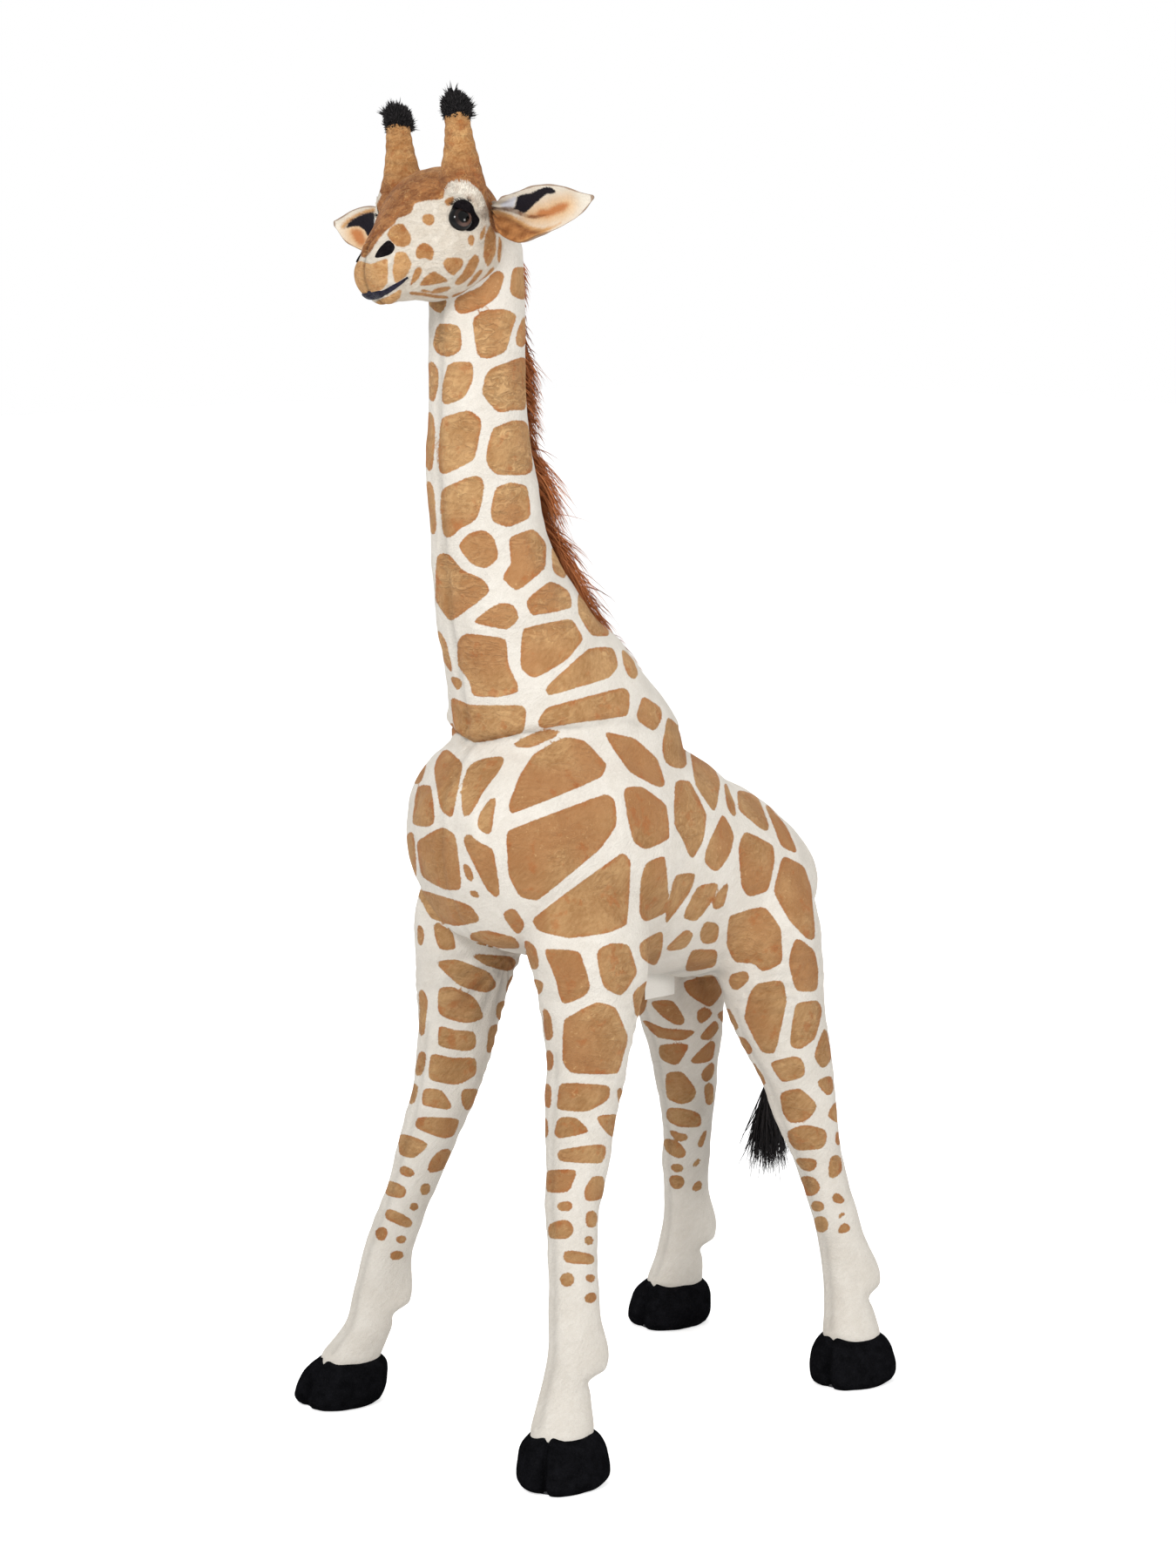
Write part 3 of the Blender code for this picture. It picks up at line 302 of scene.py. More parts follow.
def stuffed(centres: Array, halves: Array, second: Array, turns: int, dome: tuple, steps: int = 6) -> Shell:
    """A closed tube of ellipses, their first width across the toy, with a dome at each end.

    Args:
        centres: one centre for each ring.
        halves: half widths for each ring, one or two.
        second: the unit vector of the second width.
        turns: points round a ring.
        dome: how far the first and the last end stand out.
        steps: rings in each dome.

    Returns:
        The shell.
    """
    centres, halves = domed(centres, halves, dome, steps)
    return closed_grid(ring_grid(centres, np.outer(halves[:, 0], ACROSS), np.outer(halves[:, -1], second), turns))


def mesh_object(name: str, shell: Shell, finish: bpy.types.Material, attributes: dict[str, Array] | None = None
                ) -> bpy.types.Object:
    """A shell as a smooth object of the scene.

    Args:
        name: the piece's name.
        shell: its points and faces.
        finish: its material.
        attributes: numbers on its points, by name.

    Returns:
        The object, at the origin.
    """
    mesh = bpy.data.meshes.new(name)
    quads, tris = shell.quads, shell.tris
    mesh.vertices.add(len(shell.points))
    mesh.vertices.foreach_set("co", shell.points.astype(np.float32).ravel())
    loops = np.concatenate([quads.ravel(), tris.ravel()]).astype(np.int32)
    mesh.loops.add(len(loops))
    mesh.loops.foreach_set("vertex_index", loops)
    totals = np.repeat([4, 3], [len(quads), len(tris)]).astype(np.int32)
    mesh.polygons.add(len(totals))
    mesh.polygons.foreach_set("loop_start", (np.cumsum(totals) - totals).astype(np.int32))
    mesh.polygons.foreach_set("loop_total", totals)
    mesh.polygons.foreach_set("use_smooth", np.full(len(totals), True))
    mesh.update(calc_edges=True)
    mesh.validate()
    for key, numbers in (attributes or {}).items():
        layer = mesh.attributes.new(key, "FLOAT", "POINT")
        layer.data.foreach_set("value", np.asarray(numbers, np.float32).ravel())
    mesh.materials.append(finish)
    piece = bpy.data.objects.new(name, mesh)
    bpy.context.scene.collection.objects.link(piece)
    return piece


def fetched(items: bpy.types.bpy_prop_collection, key: str, width: int = 1, kind: type = int) -> Array:
    """What each item of a mesh holds under a key, width numbers each, in one array.

    Args:
        items: the mesh's items.
        key: the key.
        width: how many numbers each item has.
        kind: the numbers' type.

    Returns:
        One array.
    """
    values = np.empty(len(items) * width, kind)
    items.foreach_get(key, values)
    return values


def remeshed(parts: list[Shell], voxel: float) -> Shell:
    """The skin round several closed shells that pass into each other, on an even grid.

    Args:
        parts: the shells.
        voxel: the size of the grid.

    Returns:
        One closed shell, with the grid's steps smoothed out.
    """
    blank = mesh_object("blank", joined(parts), bpy.data.materials.new("blank"))
    whole = blank.modifiers.new("whole", "REMESH")
    whole.mode = "VOXEL"
    whole.voxel_size = voxel
    mesh = bpy.data.meshes.new_from_object(blank.evaluated_get(bpy.context.evaluated_depsgraph_get()))
    points = fetched(mesh.vertices, "co", 3, float).reshape(-1, 3)
    sizes, starts = fetched(mesh.polygons, "loop_total"), fetched(mesh.polygons, "loop_start")
    corners = fetched(mesh.loops, "vertex_index")
    quads, tris = (corners[starts[sizes == size][:, None] + np.arange(size)] for size in (4, 3))
    bpy.data.objects.remove(blank)
    bpy.data.meshes.remove(mesh)
    return Shell(points, quads, tris.reshape(-1, 3)).outward().relaxed(3)


def bump(points: Array, centre: tuple, size: tuple, height: float = 1.0) -> Array:
    """A soft swelling: height · exp(−½ Σ ((p − centre) / size)²) at each point."""
    return height * np.exp(-0.5 * (((points - np.array(centre)) / np.array(size)) ** 2).sum(axis=1))


def bell(values: Array, middle: float, width: float) -> Array:
    """1 at the middle and falling off on both sides: exp(−((v − middle) / width)²)."""
    return np.exp(-(((values - middle) / width) ** 2))


def waves(points: Array, seed: int, size: float) -> Array:
    """Smooth unevenness between about −1 and 1: the mean of some sines in seeded directions.

    Args:
        points: where it is wanted.
        seed: the seed of the directions.
        size: the length of the shortest sine, in metres.

    Returns:
        One number for each point.
    """
    draw = np.random.default_rng(seed)
    heading = unit(draw.normal(size=(WAVE_SINES, 3)))
    pitch = 2 * np.pi / (size * draw.uniform(1.0, 2.6, WAVE_SINES))
    angle = points @ (heading * pitch[:, None]).T + draw.uniform(0, 6.28, WAVE_SINES)
    return np.sin(angle).sum(axis=1) / math.sqrt(WAVE_SINES)


# The photograph's camera


@dataclass(frozen=True)
class Viewpoint:
    """Where the photograph was taken from, in metres and in pixels of its frame of 1350 by 1800."""

    distance: float = 4.0
    side: float = 47.2
    height: float = 1.32
    heading: float = 47.5
    dip: float = 9.1
    focal: float = 4338.0
    middle: tuple[float, float] = (675.0, 900.0)
    sensor: float = 36.0
    frame_height: float = 1800.0

    def place(self) -> Array:
        """The camera's place."""
        turn = math.radians(self.side)
        return np.array([math.sin(turn) * self.distance, -math.cos(turn) * self.distance + STAND_Y, self.height])

    def axes(self) -> tuple[Array, Array, Array]:
        """Unit vectors to the right, upwards and ahead.

        Returns:
            The three vectors.
        """
        turn, dip = math.radians(self.heading), math.radians(self.dip)
        ahead = np.array([-math.sin(turn) * math.cos(dip), math.cos(turn) * math.cos(dip), -math.sin(dip)])
        right = np.array([math.cos(turn), math.sin(turn), 0.0])
        return right, np.cross(right, ahead), ahead

    def pixels(self, points: Array) -> tuple[Array, Array]:
        """Where points appear: u = middle + focal · right / depth, and v counts downwards.

        Args:
            points: points in the row frame.

        Returns:
            The pixels, and how far ahead of the camera each point is.
        """
        right, upwards, ahead = self.axes()
        away = points - self.place()
        depth = away @ ahead
        across = self.middle[0] + self.focal * (away @ right) / depth
        down = self.middle[1] - self.focal * (away @ upwards) / depth
        return np.stack([across, down], axis=-1), depth

    def lines(self, pixels: Array) -> Array:
        """Unit directions from the camera through pixels.

        Args:
            pixels: places in the photograph's frame.

        Returns:
            One direction for each pixel.
        """
        right, upwards, ahead = self.axes()
        share = (pixels - np.array(self.middle)) / self.focal
        return unit(ahead + right * share[:, :1] - upwards * share[:, 1:])

    def build(self) -> None:
        """Makes the camera and chooses it for the scene."""
        lens = bpy.data.cameras.new("photo_camera")
        lens.sensor_fit = "AUTO"
        lens.sensor_width = self.sensor
        lens.lens = self.focal / self.frame_height * self.sensor
        camera = bpy.data.objects.new("photo_camera", lens)
        camera.location = Vector(self.place())
        camera.rotation_euler = (math.radians(90 - self.dip), 0, math.radians(self.heading))
        bpy.context.scene.collection.objects.link(camera)
        bpy.context.scene.camera = camera


VIEW = Viewpoint()


# Coat pattern


def outline(text: str) -> Array:
    """Corners in pixels of the photograph's 1350 by 1800 frame, from a line such as 491,343 513,344."""
    return np.array([[float(number) for number in pair.split(",")] for pair in text.split()])


def rounded(text: str, radius: float = FINE_RADIUS) -> Array:
    """A closed outline with its corners cut off.

    The first cut takes radius pixels, or 0.3 of the side, off both ends of each side. Later ones take a quarter.

    Args:
        text: the outline's corners.
        radius: the length of the first cut.

    Returns:
        The finer outline.
    """
    corners = outline(text)
    for number in range(PATCH_ROUNDS):
        side = np.roll(corners, -1, axis=0) - corners
        long = np.maximum(np.linalg.norm(side, axis=1, keepdims=True), 1e-6)
        cut = np.minimum(radius / long, 0.30) if number == 0 else np.full_like(long, 0.25)
        corners = np.stack([corners + side * cut, corners + side * (1 - cut)], axis=1).reshape(-1, 2)
    return corners


def inside_distance(places: Array, corners: Array) -> Array:
    """How far places in a plane are inside a closed outline, below 0 outside it.

    The size is the least distance to a side, and the sign comes from how often a level line crosses the sides.

    Args:
        places: places in the plane.
        corners: the outline.

    Returns:
        One distance for each place.
    """
    start, side = corners, np.roll(corners, -1, axis=0) - corners
    away = places[:, None] - start[None]
    share = np.clip((away * side).sum(-1) / np.maximum((side**2).sum(-1), 1e-12), 0, 1)
    least = np.sqrt(((away - side * share[..., None]) ** 2).sum(-1)).min(axis=1)
    end = start + side
    above = (start[None, :, 1] > places[:, None, 1]) != (end[None, :, 1] > places[:, None, 1])
    slope = np.where(side[:, 1] == 0, 1e-9, side[:, 1])
    crossing = start[None, :, 0] + away[..., 1] * side[None, :, 0] / slope[None]
    odd = (above & (places[:, None, 0] < crossing)).sum(axis=1) % 2 == 1
    return np.where(odd, least, -least)


def near_tree(points: Array) -> KDTree:
    """A tree that finds the nearest of the points.

    Args:
        points: the points.

    Returns:
        The tree, which numbers them as they come.
    """
    tree = KDTree(len(points))
    for number, place in enumerate(points.tolist()):
        tree.insert(place, number)
    tree.balance()
    return tree


def near_distance(places: Array, others: Array) -> Array:
    """The distance from each place to the nearest of the others, 1 where there are none.

    Args:
        places: the places.
        others: the others.

    Returns:
        One distance for each place.
    """
    if not len(others):
        return np.ones(len(places))
    tree = near_tree(others)
    return np.array([tree.find(place)[2] for place in places.tolist()])


@dataclass
class Coat:
    """The coat's pattern on one cover: patches where the photograph shows them, and of the same kind elsewhere."""

    shell: Shell
    mirror: Array = field(default_factory=lambda: np.diag([-1.0, 1.0, 1.0, 1.0]))
    gap: float = 0.009
    reach: float = 0.030
    faraway: float = -0.030
    horizon: float = -0.30
    slack: float = 0.020
    rim: float = -0.04
    most_cells: int = 400
    cell_size: float = 0.62
    cell_room: float = 0.80
    seen: Array = field(init=False)
    known: Array = field(init=False)
    pixels: Array = field(init=False)
    depth: Array = field(init=False)
    hidden: Array = field(init=False)

    def __post_init__(self) -> None:
        """Finds the points that the camera sees, with a little beyond the rim."""
        self.pixels, self.depth = VIEW.pixels(self.shell.points)
        line = self.shell.points - VIEW.place()
        length = np.linalg.norm(line, axis=1)
        line /= length[:, None]
        facing = -(line * self.shell.normals()).sum(axis=1)
        tree, eye = self.shell.tree(), Vector(VIEW.place())
        hit = np.array([(tree.ray_cast(eye, Vector(way))[3] or 0.0) if turned > self.horizon else 0.0
                        for way, turned in zip(line.tolist(), facing.tolist())])
        self.seen = (facing > self.horizon) & (length - hit < self.slack)
        mean = self.shell.averager()
        for _ in range(3):
            self.seen |= mean(self.seen * 1.0) >= 0.5
        self.known = self.seen.copy()
        self.hidden = ~self.seen | (facing < self.rim)

    def placed(self, text: str, radius: float = FINE_RADIUS) -> Array:
        """How far inside a patch each seen point is, in metres.

        The distance in pixels times depth over the focal length is the distance on a surface square to the view.

        Args:
            text: the patches in pixels, one to a line.
            radius: how much their corners are rounded.

        Returns:
            One distance for each point, which is faraway where no patch is near.
        """
        inside = np.full(len(self.shell.points), self.faraway)
        scale = self.depth / VIEW.focal
        margin = self.reach / scale.mean()
        for corners in (rounded(line, radius) for line in text.splitlines() if line):
            low, high = corners.min(0) - margin, corners.max(0) + margin
            near = np.where(self.seen & (self.pixels > low).all(1) & (self.pixels < high).all(1))[0]
            if len(near):
                inside[near] = np.maximum(inside[near], inside_distance(self.pixels[near], corners) * scale[near])
        return inside

    def mirrored(self, inside: Array) -> Array:
        """Fills the unseen points from the other side of the cover, a gap away from what is seen.

        Args:
            inside: the distances at the seen points.

        Returns:
            The distances with the other side's patches added.
        """
        points, unseen = self.shell.points, np.where(~self.seen)[0]
        tree = near_tree(points)
        found = [tree.find_n(place, 3) for place in through(points[unseen], self.mirror).tolist()]
        number = np.array([[hit[1] for hit in hits] for hits in found])
        weight = 1 / (np.array([[hit[2] for hit in hits] for hits in found]) + 1e-5)
        value = (inside[number] * weight).sum(1) / weight.sum(1)
        good = self.seen[number].all(axis=1)
        result = inside.copy()
        away = near_distance(points[unseen], points[self.seen & (inside > 0)])
        result[unseen] = np.where(good, np.minimum(value, away - self.gap), self.faraway)
        self.known[unseen[good]] = True
        return result

    def settled(self, inside: Array, rounds: int) -> Array:
        """The distances with the hidden ones evened out, each half its own and half the mean of its neighbours.

        Args:
            inside: the distances so far.
            rounds: how many times.

        Returns:
            The evened distances.
        """
        mean = self.shell.averager()
        inside = np.maximum(inside, -0.012)
        for _ in range(rounds):
            inside = np.where(self.hidden, (inside + mean(inside)) / 2, inside)
        return inside

    def filled(self, inside: Array, spacing: Array, allowed: Array) -> Array:
        """Fills what neither side shows with cells of the same kind.

        Seeds are spread so that each is the farthest from those before it, measured in its own spacing. A point is
        (second nearest − nearest) / 2 − gap / 2 inside its cell, and a gap stays to the patches that are there.

        Args:
            inside: the distances so far.
            spacing: the wanted distance between the middles of cells at each point.
            allowed: where cells may be.

        Returns:
            The distances with the cells added.
        """
        points, free = self.shell.points, np.where(~self.known & allowed)[0]
        if not len(free):
            return inside
        away = near_distance(points[free], points[self.known & (inside > 0)])
        place, size = points[free], spacing[free]
        nearest = away * 2 / size
        first, second = np.full((2, len(free)), 9.0)
        for _ in range(self.most_cells):
            chosen = int(np.argmax(nearest))
            if nearest[chosen] < self.cell_room:
                break
            distance = np.linalg.norm(place - place[chosen], axis=1)
            nearest = np.minimum(nearest, distance / size)
            second = np.minimum(second, np.maximum(first, distance))
            first = np.minimum(first, distance)
        cell = np.minimum((second - first) / 2 - self.gap / 2, away - self.gap)
        result = inside.copy()
        result[free] = np.maximum(result[free], np.minimum(cell, size * self.cell_size - first))
        return result


# Finishes


class Ink:
    """A shader's number, on which Python's arithmetic adds Math nodes."""

    def __init__(self, bench: "Bench", socket: bpy.types.NodeSocket) -> None:
        """Keeps the bench that it is worked on and its socket."""
        self.bench, self.socket = bench, socket

    def __add__(self, other: object) -> "Ink":
        """This plus other."""
        return self.bench.math("ADD", self, other)

    def __sub__(self, other: object) -> "Ink":
        """This less other."""
        return self.bench.math("SUBTRACT", self, other)

    def __mul__(self, other: object) -> "Ink":
        """This times other."""
        return self.bench.math("MULTIPLY", self, other)

    def __rsub__(self, other: float) -> "Ink":
        """A plain number less this."""
        return self.bench.math("SUBTRACT", other, self)

    __radd__ = __add__
    __rmul__ = __mul__

    def step(self, low: float, high: float) -> "Ink":
        """0 below low, 1 above high, and a smooth rise between them."""
        return self.bench.node("ShaderNodeMapRange", {"interpolation_type": "SMOOTHSTEP"},
                               {"Value": self, "From Min": low, "From Max": high})

    def edge(self, width: float) -> "Ink":
        """A step from 0 to 1 that is width wide on each side of 0."""
        return self.step(-width, width)


class Bench:
    """The node tree of a material or of the world while it is made."""

    def __init__(self, owner: bpy.types.Material | bpy.types.World, shader: str = "Principled BSDF") -> None:
        """Opens the owner's nodes and finds its shader.

        Args:
            owner: the material or the world.
            shader: its shader's name.
        """
        owner.use_nodes = True
        self.owner, self.tree = owner, owner.node_tree
        self.shader = self.tree.nodes[shader]

    def put(self, node: bpy.types.Node, key: object, value: object) -> None:
        """Gives one of a node's inputs an Ink or a plain value.

        Args:
            node: the node.
            key: the input's name or number.
            value: what it gets.
        """
        if isinstance(value, Ink):
            self.tree.links.new(value.socket, node.inputs[key])
        else:
            node.inputs[key].default_value = value

    def node(self, kind: str, settings: dict | None = None, sockets: dict | None = None, out: object = 0) -> Ink:
        """Adds a node.

        Args:
            kind: the node's type.
            settings: its settings.
            sockets: what its inputs get, by name or number: a value or another node's Ink.
            out: the name or number of the output that is wanted.

        Returns:
            That output.
        """
        made = self.tree.nodes.new(kind)
        for key, setting in (settings or {}).items():
            setattr(made, key, setting)
        for key, value in (sockets or {}).items():
            self.put(made, key, value)
        return Ink(self, made.outputs[out])

    def math(self, operation: str, first: object, second: object) -> Ink:
        """One Math node on two numbers."""
        return self.node("ShaderNodeMath", {"operation": operation}, {0: first, 1: second})

    def place(self) -> Ink:
        """The point in the piece's own frame."""
        return self.node("ShaderNodeTexCoord", out="Object")

    def number(self, name: str) -> Ink:
        """A number that the mesh carries on its points."""
        return self.node("ShaderNodeAttribute", {"attribute_name": name}, out="Fac")

    def noise(self, scale: float, detail: float = 2.0, rough: float = 0.5, place: Ink | None = None,
              twist: float = 0.0) -> Ink:
        """Noise from 0 to 1 with so many lumps to a metre, twisted out of shape by twist."""
        return self.node("ShaderNodeTexNoise", {}, {"Vector": place or self.place(), "Scale": scale, "Detail": detail,
                                                   "Roughness": rough, "Distortion": twist}, "Fac")

    def lain(self, scale: tuple, turn: tuple = (0.0, 0.0, 0.0)) -> Ink:
        """The place in axes that are turned and then stretched by scale, for fur that lies one way."""
        return self.node("ShaderNodeMapping", {"vector_type": "TEXTURE"},
                         {"Vector": self.place(), "Scale": scale, "Rotation": turn})

    def mix(self, share: object, first: object, second: object) -> Ink:
        """A colour between two, each an Ink or a screen colour of 0 to 255."""
        first, second = (colour if isinstance(colour, Ink) else linear(colour) for colour in (first, second))
        return self.node("ShaderNodeMix", {"data_type": "RGBA"}, {0: share, 6: first, 7: second}, 2)

    def grey(self, factor: Ink) -> Ink:
        """A grey of the same number in red, green and blue."""
        return self.node("ShaderNodeCombineColor", {}, {0: factor, 1: factor, 2: factor})

    def shade(self, colour: Ink, factor: Ink) -> Ink:
        """A colour made darker or lighter by a grey factor round 1."""
        return self.node("ShaderNodeMix", {"data_type": "RGBA", "blend_type": "MULTIPLY"},
                         {6: colour, 7: self.grey(factor), 0: 1.0}, 2)

    def bump(self, height: Ink, distance: float, strength: float = 0.8) -> None:
        """Relief on the shader's normal, height times distance in metres."""
        self.put(self.shader, "Normal", self.node("ShaderNodeBump", {}, {
            "Height": height, "Distance": distance, "Strength": strength}))

    def finish(self, colour: object, roughness: object, **fixed: float) -> None:
        """Sets the shader's colour, its roughness and numbers that are the same all over, with _ for a space."""
        for name, value in {"Base Color": colour, "Roughness": roughness, **fixed}.items():
            self.put(self.shader, name.replace("_", " "), value)

    def background(self) -> Ink:
        """1 for rays from the camera, from a mirror or through glass, and 0 for light."""
        rays = [self.node("ShaderNodeLightPath", out=f"Is {kind} Ray") for kind in ("Camera", "Glossy", "Transmission")]
        return self.math("MAXIMUM", self.math("MAXIMUM", rays[0], rays[1]), rays[2])


PILE = {"Sheen_Weight": 0.05, "Sheen_Roughness": 0.45, "Specular_IOR_Level": 0.12}


@dataclass(frozen=True)
class CoatPlush:
    """Short crushed plush: cream with golden patches that are rusty near their edges and in smudges."""

    name: str = "coat_plush"
    cream: tuple = (236, 230, 220)
    cream_low: tuple = (219, 211, 199)
    patch: tuple = (214, 172, 122)
    patch_low: tuple = (162, 118, 74)
    deep: tuple = (176, 122, 78)
    rust: tuple = (178, 104, 56)
    glint: tuple = (232, 192, 136)
    edge: float = 0.0006
    relief: float = 0.0013

    def make(self, bench: Bench) -> None:
        """The material. The mesh carries patch, the distance inside a patch, and the depth of a fold, which darkens the
        colour as painted shade.

        Args:
            bench: the material's node tree.
        """
        fray = bench.noise(420, 3) - 0.5
        drift = bench.noise(75, 2) - 0.5
        inside = bench.number("patch") + fray * 0.0020 + drift * 0.0014
        mask = inside.edge(self.edge)
        nap = bench.noise(30, 4, 0.6).step(0.34, 0.66)
        brushed = bench.noise(330, 3, 0.6, bench.lain((3.2, 1.0, 1.0), (0.0, -0.785, 0.829))).step(0.30, 0.70)
        ripple = bench.noise(110, 4, 0.6, bench.lain((2.2, 2.2, 0.9)), 1.8).step(0.42, 0.60)
        height = bench.node("ShaderNodeSeparateXYZ", {}, {0: bench.place()}, 2)
        ripple = ripple * bench.noise(13, 2).step(0.36, 0.58) * (0.45 + height.step(0.72, 0.95) * 0.55)
        tan = bench.mix(nap * 0.36 + brushed * 0.30 + ripple * 0.50, self.patch_low, self.patch)
        tan = bench.mix(bench.noise(8, 2).step(0.46, 0.62) * 0.60, tan, self.deep)
        smudge = bench.noise(52, 3, 0.65).step(0.56, 0.70)
        margin = 1 - (inside + fray * 0.006).step(0.0005, 0.0050)
        rusty = smudge * 0.50 + margin * bench.noise(45).step(0.4, 0.6) * 0.40
        tan = bench.mix(bench.math("MINIMUM", rusty, 0.7), tan, self.rust)
        glint = bench.noise(240, 3, 0.6, None, 1.0).step(0.60, 0.70) * bench.noise(17, 2).step(0.50, 0.62)
        tan = bench.mix(glint * 0.45, tan, self.glint)
        tan = bench.shade(tan, 0.93 + height.step(0.68, 0.85) * 0.10)
        cream = bench.mix(nap * 0.40 + brushed * 0.30 + 0.25, self.cream_low, self.cream)
        colour = bench.mix(mask, cream, tan)
        colour = bench.shade(colour, 0.90 + bench.noise(1500, 1).step(0.25, 0.75) * 0.10)
        # Painted shade: darker in seams, folds and under the neck's overhang, by the fold depth on the mesh.
        colour = bench.shade(colour, 1.0 - bench.number("crease") * 0.50)
        # Painted shade: darker towards the floor, most on the lower legs.
        colour = bench.shade(colour, 0.91 + height.step(0.15, 0.70) * 0.09)
        relief = bench.noise(1150, 2) * 0.6 + brushed * 0.4 + nap * 0.6 + ripple * (0.25 + mask * 0.75)
        bench.bump(relief, self.relief, 0.85)
        bench.finish(colour, 0.94, **PILE)


@dataclass(frozen=True)
class FacePlush:
    """The head's plush: cream, tan face patches, a brown crown, golden horns, a tan muzzle and pale brows."""

    name: str = "face_plush"
    cream: tuple = (229, 220, 206)
    cream_low: tuple = (209, 197, 180)
    patch: tuple = (200, 152, 102)
    patch_low: tuple = (160, 108, 62)
    crown: tuple = (192, 136, 86)
    crown_low: tuple = (118, 70, 40)
    horn: tuple = (214, 166, 112)
    horn_low: tuple = (166, 112, 64)
    muzzle: tuple = (214, 170, 120)
    muzzle_low: tuple = (182, 132, 82)
    brow: tuple = (230, 222, 208)
    brow_low: tuple = (204, 193, 174)
    rust: tuple = (160, 92, 48)
    glint: tuple = (230, 186, 124)
    black: tuple = (24, 22, 24)

    def make(self, bench: Bench) -> None:
        """The material. The mesh carries patch, crown, horn, muzzle, brow and dark for each kind of area.

        Args:
            bench: the material's node tree.
        """
        fray = (bench.noise(520, 3) - 0.5) * 0.0020 + (bench.noise(150, 2) - 0.5) * 0.0010
        nap = bench.noise(70, 4, 0.65).step(0.36, 0.66)
        fine = bench.noise(420, 3, 0.6).step(0.30, 0.72)
        crushed = bench.noise(150, 4, 0.65, bench.lain((2.0, 2.0, 0.9), (0.3, 0.0, 0.0)), 1.4).step(0.40, 0.60)
        share = nap * 0.45 + fine * 0.25 + crushed * 0.30
        colour = bench.mix(share, self.cream_low, self.cream)
        for key, high, low in (("brow", self.brow, self.brow_low), ("muzzle", self.muzzle, self.muzzle_low),
                               ("patch", self.patch, self.patch_low), ("crown", self.crown, self.crown_low)):
            tone = bench.mix(share, low, high)
            if key == "crown":
                tone = bench.mix(bench.number("horn"), tone, bench.mix(share, self.horn_low, self.horn))
            mask = (bench.number(key) + fray).edge(0.0009)
            if key != "brow":
                tone = bench.mix(bench.noise(80, 3, 0.65).step(0.54, 0.66) * 0.45, tone, self.rust)
                tone = bench.mix(bench.noise(170, 3, 0.6, None, 1.2).step(0.58, 0.70) * 0.40, tone, self.glint)
            colour = bench.mix(mask, colour, tone)
        colour = bench.mix((bench.number("dark") + fray * 0.6).edge(0.0007), colour, self.black)
        colour = bench.shade(colour, 0.90 + bench.noise(1700, 1).step(0.25, 0.75) * 0.12)
        # Painted shade in the muzzle's centre groove and in the horns' folds.
        colour = bench.shade(colour, 1.0 - bench.number("crease") * 0.6)
        bench.bump(bench.noise(1300, 2) * 0.7 + fine * 0.5 + nap * 0.5 + crushed * 0.7, 0.0011)
        bench.finish(colour, 0.94, **PILE)


@dataclass(frozen=True)
class PlainPlush:
    """Plush of one colour, darker where its nap lies over."""

    name: str
    high: tuple
    low: tuple
    lumps: float = 90.0
    relief: float = 0.0009
    gloss: float = 0.0
    roughness: float = 0.92

    def make(self, bench: Bench) -> None:
        """The material.

        Args:
            bench: the material's node tree.
        """
        nap = bench.noise(self.lumps, 4, 0.6).step(0.32, 0.70)
        fine = bench.noise(650, 3, 0.6).step(0.28, 0.74)
        colour = bench.mix(nap * 0.5 + fine * 0.5, self.low, self.high)
        bench.bump(bench.noise(1400, 2) * 0.6 + fine * 0.6 + nap * 0.4, self.relief)
        bench.finish(colour, self.roughness, Sheen_Weight=0.0, Sheen_Roughness=0.4, Specular_IOR_Level=self.gloss)


@dataclass(frozen=True)
class HairFinish:
    """Long fur: each strand carries tint, from 0 for its dark kind to 1 for its light kind."""

    name: str
    high: tuple
    low: tuple
    roughness: float = 0.7

    def make(self, bench: Bench) -> None:
        """The material.

        Args:
            bench: the material's node tree.
        """
        colour = bench.mix(bench.number("tint"), self.low, self.high)
        colour = bench.shade(colour, 0.72 + bench.noise(160, 3) * 0.5)
        bench.finish(colour, self.roughness, Sheen_Weight=0.0, Specular_IOR_Level=0.12)


